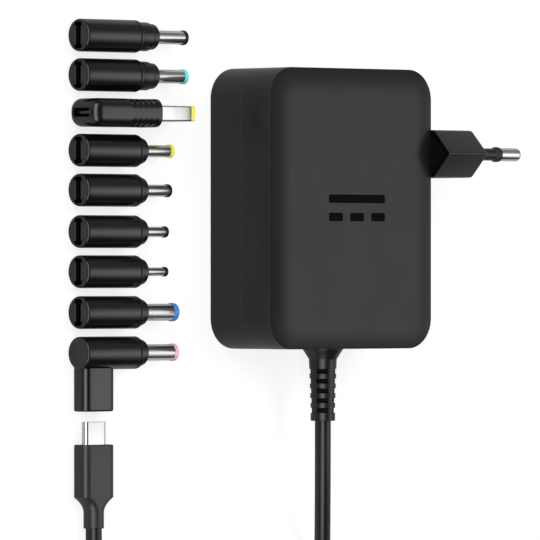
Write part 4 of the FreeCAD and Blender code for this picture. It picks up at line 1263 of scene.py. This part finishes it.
@dataclass
class OutputCord:
    """The cord from the boot through its put-away coil to the far plug, and the strap round the coil."""

    palette: Palette
    radius: float = 2.4
    fineness: int = 6
    leaving: tuple[Point, ...] = ((0, -63.1, 14), (0, -74.5, 14), (3.9, -90, 9.6), (8.8, -106, 4.0),
                                  (10.2, -122, 2.4), (2.1, -143, 3.0))
    arriving: tuple[Point, ...] = ((-72.15, -143.5, 8.7), (-74.2, -133, 8.7), (-78.0, -120.5, 5.6),
                                   (-80.5, -107, 3.25), (-80.5, -93.65, 3.25))
    coil_middle: Flat = (-39.0, -154.0)
    coil_start: float = 41.1
    coil_pitch: float = 5.3
    turns_in: int = 4
    levels: Flat = (3.2, 8.5)  # height of the turns below and above
    half_turn_steps: int = 8
    strap_thickness: float = 0.75
    strap_edges: Flat = (0.1, 0.25)  # inside and outside
    strap_slack: Flat = (0.30, 0.03)  # beside the turns and over them
    strap_steps: int = 96
    strap_lap: tuple[int, int] = (8, 34)  # first and last step
    lap_gap: float = 0.02
    lap_margin: float = 0.4

    def stations(self) -> list[Flat]:
        """Distance from the middle and height at each half turn: inwards below, outwards above.

        Returns:
            The two numbers for each half turn.
        """
        low, high = self.levels
        right = [self.coil_start - self.coil_pitch * turn for turn in range(self.turns_in + 1)]
        left = [self.coil_pitch / 2 - self.coil_start + self.coil_pitch * turn
                for turn in range(self.turns_in + 1)]
        places: list[Flat] = []
        for turn in range(self.turns_in):
            places += [(right[turn], low), (left[turn], low)]
        places += [(right[self.turns_in], low), (left[self.turns_in], high)]
        for turn in range(self.turns_in - 1, 0, -1):
            places += [(right[turn], high), (left[turn], high)]
        return places

    def coil(self) -> list[Point]:
        """The coil's points, set out a little so that the spline keeps the turns' radius.

        Returns:
            The points in order.
        """
        spread = 1 / (0.75 + 0.25 * math.cos(math.pi / self.half_turn_steps))
        x, y = self.coil_middle
        points: list[Point] = []
        places = self.stations()
        for index, ((start, level), (end, next_level)) in enumerate(zip(places, places[1:])):
            heading = -1 if index % 2 == 0 else 1
            middle, reach = (start + end) / 2, (start - end) / 2 * spread
            for step in range(self.half_turn_steps):
                share = (step + 0.5) / self.half_turn_steps
                points.append((x + middle + reach * math.cos(math.pi * share),
                               y + heading * abs(reach) * math.sin(math.pi * share),
                               level + (next_level - level) * share))
        return points

    def line(self) -> tuple[bpy.types.Object, list[Vector]]:
        """The cord itself, one smooth spline with a round section.

        Returns:
            The cord and its middle line's points.
        """
        route = [*self.leaving, *self.coil(), *self.arriving]
        curve = bpy.data.curves.new("cord", "CURVE")
        curve.dimensions = "3D"
        curve.bevel_resolution = self.fineness
        curve.resolution_u = self.fineness
        curve.use_fill_caps = True
        spline = curve.splines.new("NURBS")
        spline.points.add(len(route) - 1)
        for point, (x, y, z) in zip(spline.points, route):
            point.co = (x * MM, y * MM, z * MM, 1)
        spline.order_u = 3
        spline.use_endpoint_u = True
        curve.materials.append(self.palette["cord_rubber"])
        piece = placed("cord", curve)
        bare = bpy.data.meshes.new_from_object(piece.evaluated_get(bpy.context.evaluated_depsgraph_get()))
        middle_line = [vertex.co / MM for vertex in bare.vertices]
        bpy.data.meshes.remove(bare)
        curve.bevel_depth = self.radius * MM
        return piece, middle_line

    def round_turns(self, turns: Sequence[Flat], thickness: float) -> list[Flat]:
        """A closed line drawn tight round the cut turns, with a little slack.

        Args:
            turns: the place and height of each turn in the cut.
            thickness: how far the line stands off them, besides the slack.

        Returns:
            The line's points.
        """
        loop: list[Flat] = []
        reach_y, reach_z = (self.radius + slack + thickness for slack in self.strap_slack)
        for step in range(self.strap_steps):
            angle = 2 * math.pi * step / self.strap_steps
            way_y, way_z = math.cos(angle), math.sin(angle)
            y, z = max(turns, key=lambda turn: turn[0] * way_y + turn[1] * way_z)
            loop.append((y + reach_y * way_y, z + reach_z * way_z))
        return loop

    def strap(self, middle_line: Sequence[Vector]) -> bpy.types.Object:
        """The fabric strap that holds the turns together, where the CAD has it, with its lapped end.

        Args:
            middle_line: points of the cord's middle line, in millimetres.

        Returns:
            The strap.
        """
        low, high = (Vector(corner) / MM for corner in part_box("cord_tie"))
        x, half = (low.x + high.x) / 2, (high.x - low.x) / 2
        turns = [(start.y, start.z) for start, end in zip(middle_line, middle_line[1:])
                 if (start.x - x) * (end.x - x) <= 0 and start.y > self.coil_middle[1]]
        thick = self.strap_thickness
        inner, outer = self.strap_edges
        profile = soften(((-half, 0, inner), (half, 0, inner), (half, thick, outer), (-half, thick, outer)),
                         closed=True, steps=3)
        form = Form().skin([[(x + along, y, z) for y, z in self.round_turns(turns, out)]
                            for along, out in profile], joined=True)
        first, last = self.strap_lap
        under, over = self.round_turns(turns, thick + self.lap_gap), self.round_turns(turns, 2 * thick)
        left, right = x - half + self.lap_margin, x + half - self.lap_margin
        form.skin([[(left, *under[step]), (right, *under[step]), (right, *over[step]), (left, *over[step])]
                   for step in range(first, last)])
        return form.make("coil_strap", self.palette["tie_fabric"])

    def build(self, contacts: ContactRow) -> None:
        """Makes the cord, its strap and the far plug.

        Args:
            contacts: what makes the rows of contacts.
        """
        line, middle_line = self.line()
        cord = fitted(line, "adapter", "cord_rubber", "output_cord", "cord_coil", "cord_tail")
        strap = fitted(self.strap(middle_line), "adapter", "tie_plastic", "cord_tie")
        plug = FarPlug(self.palette).build(contacts)


# Tips

@dataclass
class Socket:
    """The opening that the far plug goes into, with the tongue that stands in it."""

    half_width: float = 4.17
    half_height: float = 1.28
    depth: float = 6.9
    mouth_edge: float = 0.2
    mouth_flare: float = 0.3
    tongue: Point = (3.3, 0.35, 0.12)  # half width, half thickness and corner
    tongue_edge: float = 0.08
    tongue_root: float = 0.2
    recess: float = 1.2
    strips_place: float = 3.2
    strips_length: float = 3.0
    strips_proud: float = 0.02

    def loops(self, centre: Point, axis: Axis, upright: bool = False) -> list[list[Point]]:
        """The inside of the opening, from its floor to its softly broken mouth.

        Args:
            centre: the middle of the mouth.
            axis: the way in.
            upright: whether the opening stands on its narrow side.

        Returns:
            The loops in order.
        """
        profile = soften(((self.depth, 0, 0), (0, 0, self.mouth_edge), (0, -self.mouth_flare, 0)), steps=3)
        halves = (self.half_height, self.half_width) if upright else (self.half_width, self.half_height)
        return sections(profile, *halves, self.half_height, centre, axis)

    def stand_tongue(self, form: Form, centre: Point, axis: Axis, upright: bool = False) -> None:
        """Adds the tongue to the form.

        Args:
            form: the form of the body.
            centre: the middle of the mouth.
            axis: the way in.
            upright: whether the opening stands on its narrow side.
        """
        wide, thin, corner = self.tongue
        halves = (thin, wide) if upright else (wide, thin)
        form.bar(*halves, corner, self.recess, self.depth + self.tongue_root, centre, axis, self.tongue_edge)

    def contacts(self, rows: ContactRow, name: str, mouth: Point, along: Point, across: Point,
                 material: bpy.types.Material) -> bpy.types.Object:
        """Contact strips on both faces of the tongue.

        Args:
            rows: what makes them.
            name: the piece's name.
            mouth: the middle of the opening.
            along: the axis along which the socket runs.
            across: the axis along which the strips follow each other.
            material: what they are made of.

        Returns:
            The strips as one mesh.
        """
        middle = Vector(mouth) + Vector(along) * self.strips_place
        apart = 2 * (self.tongue[1] + self.strips_proud)
        return rows.strips(name, middle, self.strips_length, apart, along, across, material)


@dataclass
class Tip(ABC):
    """A loose tip: a plastic body with its socket, a metal plug and the coloured ring."""

    palette: Palette
    number: int
    y: float
    ring_finish: str
    left: float = field(default=-87.8, kw_only=True)
    seat: float = field(default=4.0, kw_only=True)
    socket: Socket = field(default_factory=Socket, kw_only=True)

    @property
    def name(self) -> str:
        """The name of the tip's own body, with which the names of its pieces start."""
        return f"tip_{self.number}"

    @property
    @abstractmethod
    def centre(self) -> Point:
        """The middle of the left end."""

    @abstractmethod
    def grip(self) -> bpy.types.Object:
        """The plastic body."""

    @abstractmethod
    def tubes(self) -> bpy.types.Object:
        """The metal plug."""

    @abstractmethod
    def collar(self) -> bpy.types.Object:
        """The coloured ring."""

    @abstractmethod
    def contacts(self, rows: ContactRow) -> bpy.types.Object:
        """The contact strips in the socket."""

    def made(self, form: Form, piece: str, finish: str) -> bpy.types.Object:
        """Makes one of the tip's pieces under its own name."""
        return form.make(f"{self.name}_{piece}", self.palette[finish])

    def build(self, rows: ContactRow) -> None:
        """Makes the tip's pieces, which ride on its own body.

        Args:
            rows: what makes the rows of contacts.
        """
        fitted(self.grip(), self.name, "tip_plastic", f"{self.name}_body")
        fitted(self.tubes(), self.name, "plug_metal", f"{self.name}_barrel")
        fitted(self.collar(), self.name, self.ring_finish, f"{self.name}_ring")
        fitted(self.contacts(rows), self.name, "brass")


@dataclass
class RoundTip(Tip):
    """A straight tip: turned body, barrel with its inner contact, and the coloured ring."""

    barrel: float
    bore: float
    bare: float
    ring: float
    collars: tuple[Flat, ...]
    radius: float = 4.8
    length: float = 21.9
    edge: float = 1.2
    end_inset: float = 1.68
    shoulder_edge: float = 0.3
    seam: Point = (1.45, 0.28, 0.14)  # back from the shoulder, half width and depth
    groove: Flat = (0.3, 0.22)  # width and depth
    groove_edge: float = 0.05
    small_edge: float = 0.12
    flange: float = 0.4
    flange_fit: float = 0.05
    barrel_wall: float = 0.35
    barrel_edge: float = 0.1
    contact_wall: float = 0.2
    proud: float = 0.2
    ring_edge: float = 0.35
    ring_fit: float = 0.025

    @property
    def centre(self) -> Point:
        """The middle of the left end."""
        return (self.left, self.y, self.radius)

    @property
    def base(self) -> float:
        """Where the bare barrel starts, from the left end."""
        return self.length + sum(collar_length for _, collar_length in self.collars)

    def outside(self) -> list[Flat]:
        """The turned outline from the left end's edge to the barrel's seat.

        Returns:
            The outline's points.
        """
        seam_place, seam_width, seam_depth = self.seam
        seam, fine = self.length - seam_place, self.groove_edge
        corners = [(0, self.radius - self.end_inset, 0), (0, self.radius, self.edge),
                   (seam - seam_width, self.radius, fine), (seam, self.radius - seam_depth, fine),
                   (seam + seam_width, self.radius, fine), (self.length, self.radius, self.shoulder_edge)]
        along = self.length
        groove, sunk = self.groove
        for radius, length in self.collars:
            corners += [(along, radius - sunk, fine), (along + groove, radius - sunk, fine),
                        (along + groove, radius, self.small_edge),
                        (along + length, radius, self.shoulder_edge)]
            along += length
        root = self.barrel + self.flange + self.flange_fit
        corners += [(along, root, 0), (along - self.seat, root, 0)]
        return soften(corners, steps=5)

    def grip(self) -> bpy.types.Object:
        """The plastic body, hollow at its left end.

        Returns:
            The body.
        """
        loops = self.socket.loops(self.centre, Axis.RIGHT) + rings(self.outside(), self.centre, Axis.RIGHT)
        form = Form().skin(loops)
        self.socket.stand_tongue(form, self.centre, Axis.RIGHT)
        return self.made(form, "grip", "tip_plastic")

    def tubes(self) -> bpy.types.Object:
        """The barrel, flanged where the body holds it, and the contact tube inside.

        Returns:
            Both tubes as one mesh.
        """
        start, back, end = self.base, self.base - self.seat, self.base + self.bare
        inner, contact = self.barrel - self.barrel_wall, self.bore + self.contact_wall
        root = self.barrel + self.flange
        barrel = soften(((back, inner, 0), (end, inner, 0), (end, self.barrel, self.barrel_edge),
                         (start, self.barrel, self.small_edge), (start, root, self.small_edge),
                         (back, root, 0)), closed=True)
        tube = ((back, self.bore), (end, self.bore), (end, contact), (back, contact))
        form = Form()
        for profile in (barrel, tube):
            form.turned(profile, self.centre, Axis.RIGHT, joined=True)
        return self.made(form, "tubes", "barrel_metal")

    def collar(self) -> bpy.types.Object:
        """The insulating ring at the end, which also parts the two tubes.

        Returns:
            The ring.
        """
        back, face = self.base - self.seat, self.base + self.bare + self.ring_fit
        lip = self.base + self.bare + self.ring
        inner = self.barrel - self.barrel_wall - self.ring_fit
        contact = self.bore + self.contact_wall + self.ring_fit
        outer = self.barrel + self.proud
        profile = soften(((back, contact, 0), (face, contact, 0), (face, self.bore, 0),
                          (lip, self.bore, self.small_edge), (lip, outer, self.ring_edge),
                          (face, outer, self.small_edge), (face, inner, 0), (back, inner, 0)), closed=True)
        form = Form().turned(profile, self.centre, Axis.RIGHT, joined=True)
        return self.made(form, "collar", self.ring_finish)

    def contacts(self, rows: ContactRow) -> bpy.types.Object:
        """Contact strips one beside the other."""
        return self.socket.contacts(rows, f"{self.name}_contacts", self.centre, (1, 0, 0), (0, 1, 0),
                                    self.palette["gold"])


@dataclass
class ElbowTip(RoundTip):
    """A tip whose socket stands in a leg, in line with the far plug."""

    leg_x: float = -80.5
    leg: Point = (6.15, 3.25, 2.5)  # half width, half height and corner
    leg_insets: Flat = (1.5, 1.6)  # at its mouth and at its top
    leg_edges: Flat = (0.7, 0.8)  # the same
    drop: float = 17.1
    end_radius: float = 0.4

    @property
    def mouth(self) -> Point:
        """The middle of the leg's open end."""
        return (self.leg_x, self.y - self.drop, self.leg[1])

    def grip(self) -> bpy.types.Object:
        """The turned body and the leg, joined into one.

        Returns:
            The body.
        """
        body = Form().turned([(0.0, self.end_radius), *self.outside()], self.centre, Axis.RIGHT)
        low, high = self.leg_insets
        low_edge, high_edge = self.leg_edges
        profile = soften(((0, low, 0), (0, 0, low_edge), (self.drop, 0, high_edge), (self.drop, high, 0)))
        leg = Form().skin(self.socket.loops(self.mouth, Axis.UP)
                          + sections(profile, *self.leg, self.mouth, Axis.UP))
        tongue = Form()
        self.socket.stand_tongue(tongue, self.mouth, Axis.UP)
        grip, leg, tongue = (self.made(form, piece, "tip_plastic")
                             for form, piece in ((body, "grip"), (leg, "leg"), (tongue, "tongue")))
        return joined_meshes(carved(grip, leg, join=True), tongue)

    def contacts(self, rows: ContactRow) -> bpy.types.Object:
        """Contact strips on the leg's tongue."""
        return self.socket.contacts(rows, f"{self.name}_contacts", self.mouth, (0, 1, 0), (1, 0, 0),
                                    self.palette["gold"])


@dataclass
class SlimTip(Tip):
    """The tip with the flat shell: a bar with a rounded nose, a rippled grip and a yellow insert."""

    length: float = 26.0
    half_y: float = 4.15
    half_z: float = 6.3
    corner: float = 3.0
    corner_share: float = 0.55
    nose: float = 3.4
    nose_share: float = 0.76
    nose_steps: int = 10
    end: Point = (0.5, 0.8, 0.4)  # length, inset and rounding
    shell: Flat = (2.25, 5.5)  # half width and half height
    shell_corner: float = 0.5
    shell_wall: float = 0.45
    shell_edge: float = 0.1
    shell_length: float = 11.8
    seat_corner: float = 0.4
    fit: float = 0.05
    pin: Flat = (0.5, 0.25)  # radius and rounding
    pin_ends: Flat = (0.1, 0.05)  # radius of the flats at the root and at the point
    pin_recess: float = 2.0
    ring_length: float = 1.5
    ring_corner: float = 0.2
    ring_edges: Point = (0.1, 0.3, 0.2)
    ring_share: float = 0.6
    ripples: int = 5
    ripple_pitch: float = 2.1
    ripple_start: float = 2.4
    ripple_depth: float = 0.38
    ripple_steps: int = 12
    ripple_power: float = 1.6

    @property
    def centre(self) -> Point:
        """The middle of the left end."""
        return (self.left, self.y, self.half_z)

    def flank(self, along: float) -> float:
        """How far the ripples draw in the flanks at a place along the bar.

        Args:
            along: distance from the left end.

        Returns:
            The depth there, or 0 beside the ripples.
        """
        last = self.length - self.ripple_start + self.ripple_pitch / 2
        place = (last - along) / self.ripple_pitch
        if not 0 <= place <= self.ripples:
            return 0.0
        return self.ripple_depth * (1 - abs(2 * (place % 1.0) - 1) ** self.ripple_power)

    def section(self, along: float, inset: float, flank: float) -> list[Point]:
        """One loop of the body.

        Args:
            along: distance from the left end.
            inset: how far it is drawn in all round.
            flank: how much farther its flanks are drawn in.

        Returns:
            The loop's points.
        """
        loop = rounded_loop(self.half_y - inset - flank, self.half_z - inset,
                            self.corner - inset * self.corner_share)
        return laid(loop, along, self.centre, Axis.RIGHT)

    def grip(self) -> bpy.types.Object:
        """The body, from its socket round the nose and over the ripples to the shell's seat.

        Returns:
            The body.
        """
        loops = self.socket.loops(self.centre, Axis.RIGHT, upright=True)
        for step in range(self.nose_steps + 1):
            angle = math.pi / 2 * step / self.nose_steps
            inset = self.nose * self.nose_share * (1 - math.sin(angle))
            loops.append(self.section(self.nose * (1 - math.cos(angle)), inset, 0.0))
        end_length, end_inset, end_edge = self.end
        first = self.length - self.ripple_start - self.ripple_pitch * self.ripples
        last = self.length - end_length
        steps = self.ripples * self.ripple_steps
        for step in range(steps + 1):
            along = first + (last - first) * step / steps
            loops.append(self.section(along, 0.0, self.flank(along)))
        edge = soften(((last, 0, 0), (self.length, 0, end_edge), (self.length, end_inset, 0)))
        loops += [self.section(along, inset, 0.0) for along, inset in edge[1:]]
        half_a, half_b = (half + self.fit for half in self.shell)
        seat = ((self.length, 0), (self.length - self.seat, 0))
        loops += sections(seat, half_a, half_b, self.seat_corner, self.centre, Axis.RIGHT)
        form = Form().skin(loops)
        self.socket.stand_tongue(form, self.centre, Axis.RIGHT, upright=True)
        return self.made(form, "grip", "tip_plastic")

    def tubes(self) -> bpy.types.Object:
        """The flat shell and the round pin in its middle.

        Returns:
            The shell and the pin as one mesh.
        """
        wall, edge = self.shell_wall, self.shell_edge
        back, end = self.length - self.seat, self.length + self.shell_length
        tube = soften(((back, 0, 0), (end, 0, edge), (end, wall, edge), (back, wall, 0)),
                      closed=True, steps=3)
        loops = sections(tube, *self.shell, self.shell_corner, self.centre, Axis.RIGHT)
        form = Form().skin(loops, joined=True)
        radius, pin_edge = self.pin
        foot, point = self.pin_ends
        top = end - self.pin_recess
        pin = soften(((back, foot, 0), (back, radius, 0), (top, radius, pin_edge), (top, point, 0)))
        form.turned(pin, self.centre, Axis.RIGHT)
        return self.made(form, "tubes", "barrel_metal")

    def collar(self) -> bpy.types.Object:
        """The insert in the shell's foot and the lip at its end.

        Returns:
            The insert with its lip.
        """
        inner = self.shell_wall + self.fit
        first, second, third = self.ring_edges
        end = self.length + self.shell_length
        top = end + self.ring_length
        half_a, half_b = (half - inner for half in self.shell)
        form = Form().bar(half_a, half_b, self.ring_corner, self.length - self.seat,
                          self.length + self.ring_length, self.centre, Axis.RIGHT)
        lip = soften(((end, 0, first), (top, 0, second), (top, inner, third), (end, inner, 0)),
                     closed=True, steps=3)
        loops = sections(lip, *self.shell, self.shell_corner, self.centre, Axis.RIGHT, self.ring_share)
        form.skin(loops, joined=True)
        return self.made(form, "collar", self.ring_finish)

    def contacts(self, rows: ContactRow) -> bpy.types.Object:
        """Contact strips one above the other."""
        return self.socket.contacts(rows, f"{self.name}_contacts", self.centre, (1, 0, 0), (0, 0, 1),
                                    self.palette["gold"])


class TipSet:
    """The nine tips.

    A tip's numbers are its own number, its place, its ring's finish, the radius of its barrel and bore, the
    length of the bare barrel and of the ring, and the radius and length of each collar before the barrel.
    """

    LONG = ((4.25, 4.3), (3.8, 2.2))
    SHORT = ((3.85, 2.2),)
    STRAIGHT = (
        (1, 50.2, "ring_black", 2.0, 0.85, 11.5, 1.2, LONG),
        (2, 38.7, "ring_cyan", 2.0, 0.68, 11.5, 1.2, LONG),
        (4, 16.7, "ring_yellow", 1.75, 0.68, 10.5, 1.2, SHORT),
        (5, 5.1, "ring_black", 1.75, 0.55, 9.6, 1.2, SHORT),
        (6, -7.0, "ring_black", 1.5, 0.55, 8.5, 1.2, SHORT),
        (7, -18.7, "ring_black", 1.25, 0.35, 8.5, 1.2, SHORT),
        (8, -30.6, "ring_blue", 2.5, 1.5, 11.3, 1.6, SHORT))
    SLIM = (3, 27.7, "ring_yellow")
    ELBOW = (9, -42.4, "ring_pink", 2.4, 0.85, 11.6, 1.2, SHORT)

    def __init__(self, palette: Palette) -> None:
        """Lists the tips: the straight ones, the slim one and the elbow."""
        self.tips: list[Tip] = [RoundTip(palette, *sizes) for sizes in self.STRAIGHT]
        self.tips += [SlimTip(palette, *self.SLIM), ElbowTip(palette, *self.ELBOW)]

    def build(self, rows: ContactRow) -> None:
        """Makes them all."""
        for tip in self.tips:
            tip.build(rows)


class Electronics:
    """What the case holds, which keeps its CAD shapes."""

    FINISHES = {
        "circuit_board": "board", "insulating_sheet": "insulation", "transformer_core": "ferrite",
        "transformer_bobbin": "bobbin_plastic", "transformer_winding": "copper_wire",
        "heat_spreader": "spreader_metal", "thermal_pad": "insulation", "power_switch_chip": "chip_plastic",
        "bulk_capacitors": "can_metal", "output_capacitors": "can_metal", "output_choke": "ferrite",
        "control_chip": "chip_plastic", "line_choke": "copper_wire", "film_capacitor": "film_box",
        "fuse": "fuse_ceramic", "bridge_rectifier": "chip_plastic", "output_wires": "wire_rubber",
    }

    def __init__(self, palette: Palette) -> None:
        """Keeps the finishes at hand."""
        self.palette = palette

    def build(self) -> None:
        """Dresses each piece."""
        for node, finish in self.FINISHES.items():
            dress(node, self.palette[finish])


# Camera, floor and light

@dataclass
class Studio:
    """A pale floor, soft light that comes mostly from the right, and the photograph's camera."""

    CORNERS = ((-1, -1), (1, -1), (1, 1), (-1, 1))
    to_camera: Point = (-0.6665, 0.0, 0.7455)
    to_right: Point = (0.7455, 0.0, 0.6665)
    middle: Flat = (-6.40, -18.20)  # in the middle of the picture, right and up
    distance: float = 2300.0
    lens: float = 512.6
    sensor: float = 36.0
    clip: Flat = (0.05, 20.0)  # nearest and farthest, in metres
    ambient: float = 0.05
    side: float = 1.57
    side_start: Flat = (0.15, 0.68)  # as each pair of the light: from and to, in parts of a ray's way
    side_end: Flat = (0.68, 0.88)
    side_edge: float = 0.76
    side_below: Flat = (-0.66, -0.10)
    side_above: Flat = (-0.10, 0.50)
    side_faint: float = 0.92
    top: float = 0.045
    top_reach: Flat = (0.10, 0.60)
    strip: float = 2.55
    strip_left: float = 0.06
    strip_width: Flat = (0.16, 0.46)
    strip_reach: Flat = (0.40, 0.66)
    sun: float = 1.2
    sun_way: Point = (0.30, 0.35, 0.89)
    sun_angle: float = 34.0
    floor_half: float = 3.0
    floor_gap: float = 0.03
    floor_shade: float = 0.28
    floor_change: float = 0.99
    floor_patch: float = 3.0
    floor_glow: float = 0.78
    floor_mirrored: float = 0.24

    def camera(self) -> None:
        """Sets the camera at the photograph's place."""
        data = bpy.data.cameras.new("camera")
        data.lens, data.sensor_width = self.lens, self.sensor
        data.clip_start, data.clip_end = self.clip
        camera = placed("camera", data)
        back, right = Vector(self.to_camera).normalized(), Vector(self.to_right).normalized()
        up = back.cross(right)
        across, high = self.middle
        place = (right * across + up * high + back * self.distance) * MM
        camera.matrix_world = Matrix.Translation(place) @ Matrix((right, up, back)).transposed().to_4x4()
        bpy.context.scene.camera = camera

    def floor(self) -> None:
        """A plane that shows white and still takes the shadows."""
        half, depth = self.floor_half, -self.floor_gap * MM
        mesh = bpy.data.meshes.new("floor")
        corners = [(side_a * half, side_b * half, depth) for side_a, side_b in self.CORNERS]
        mesh.from_pydata(corners, [], [tuple(range(len(corners)))])
        material = bpy.data.materials.new("floor")
        paint = Paint(material)
        seen = self.seen(paint)
        grey = (self.floor_shade,) * 3
        darker = (self.floor_shade * self.floor_change,) * 3
        shade = paint.blend(paint.noise(paint.place(), self.floor_patch), darker, grey)
        matte = paint.add("ShaderNodeBsdfDiffuse", None, {"Color": shade})
        glow = paint.add("ShaderNodeEmission", None, {
            "Color": WHITE, "Strength": seen * self.floor_glow})
        both = paint.add("ShaderNodeAddShader", None, {0: matte.outputs[0], 1: glow.outputs[0]})
        paint.add("ShaderNodeOutputMaterial", None, {"Surface": both.outputs[0]})
        mesh.materials.append(material)
        placed("floor", mesh)

    def seen(self, paint: Paint) -> Wire:
        """1 on rays from the camera, less in a mirror or glass, and 0 on the light that falls on things.

        Args:
            paint: the material under way.

        Returns:
            The share, from 0 to 1.
        """
        path = paint.add("ShaderNodeLightPath")
        camera, glossy, through = (Wire(paint, path.outputs[f"Is {ray} Ray"])
                                   for ray in ("Camera", "Glossy", "Transmission"))
        return (camera + (glossy + through) * self.floor_mirrored).held(0.0, 1.0)

    def light(self) -> None:
        """A white room lit by broad soft panels, and one lamp."""
        world = bpy.data.worlds.new("room")
        bpy.context.scene.world = world
        paint = Paint(world)
        way = paint.value("ShaderNodeTexCoord", "Generated")
        parts = paint.add("ShaderNodeSeparateXYZ", None, {0: way})
        x, y = (Wire(paint, parts.outputs[name]) for name in "XY")
        facing, beside = (paint.along(way, line) for line in (self.to_camera, self.to_right))
        panel = x.rise(*self.side_start) * (1 - self.side_edge * x.rise(*self.side_end))
        panel = panel * y.rise(*self.side_below) * (1 - self.side_faint * y.rise(*self.side_above))
        beside = (beside + self.strip_left).maths("ABSOLUTE")
        strip = facing.rise(*self.strip_reach) * (1 - beside.rise(*self.strip_width))
        room = self.ambient + self.side * panel + self.top * y.rise(*self.top_reach) + self.strip * strip
        camera = paint.value("ShaderNodeLightPath", "Is Camera Ray")
        strength = camera + (1 - camera) * room
        glow = paint.add("ShaderNodeBackground", None, {"Color": WHITE, "Strength": strength})
        paint.add("ShaderNodeOutputWorld", None, {"Surface": glow.outputs[0]})
        lamp = bpy.data.lights.new("lamp", "SUN")
        lamp.energy = self.sun
        lamp.angle = math.radians(self.sun_angle)
        broad = placed("lamp", lamp)
        broad.rotation_mode = "QUATERNION"
        broad.rotation_quaternion = Vector(self.sun_way).to_track_quat("Z", "Y")
        broad.visible_glossy = False

    def build(self) -> None:
        """Sets camera, floor and light."""
        self.camera()
        self.floor()
        self.light()
        bpy.context.scene.view_settings.view_transform = "Standard"


def main() -> None:
    """Builds every piece in order."""
    logging.basicConfig(level=logging.INFO, format="%(name)s: %(message)s")
    Studio().build()
    palette = Palette()
    contacts = ContactRow()
    OutputCord(palette).build(contacts)
    Case(palette).build()
    MainsPlug(palette).build()
    StrainRelief(palette).build()
    TipSet(palette).build(contacts)
    Electronics(palette).build()


if __name__ == "__main__":
    main()
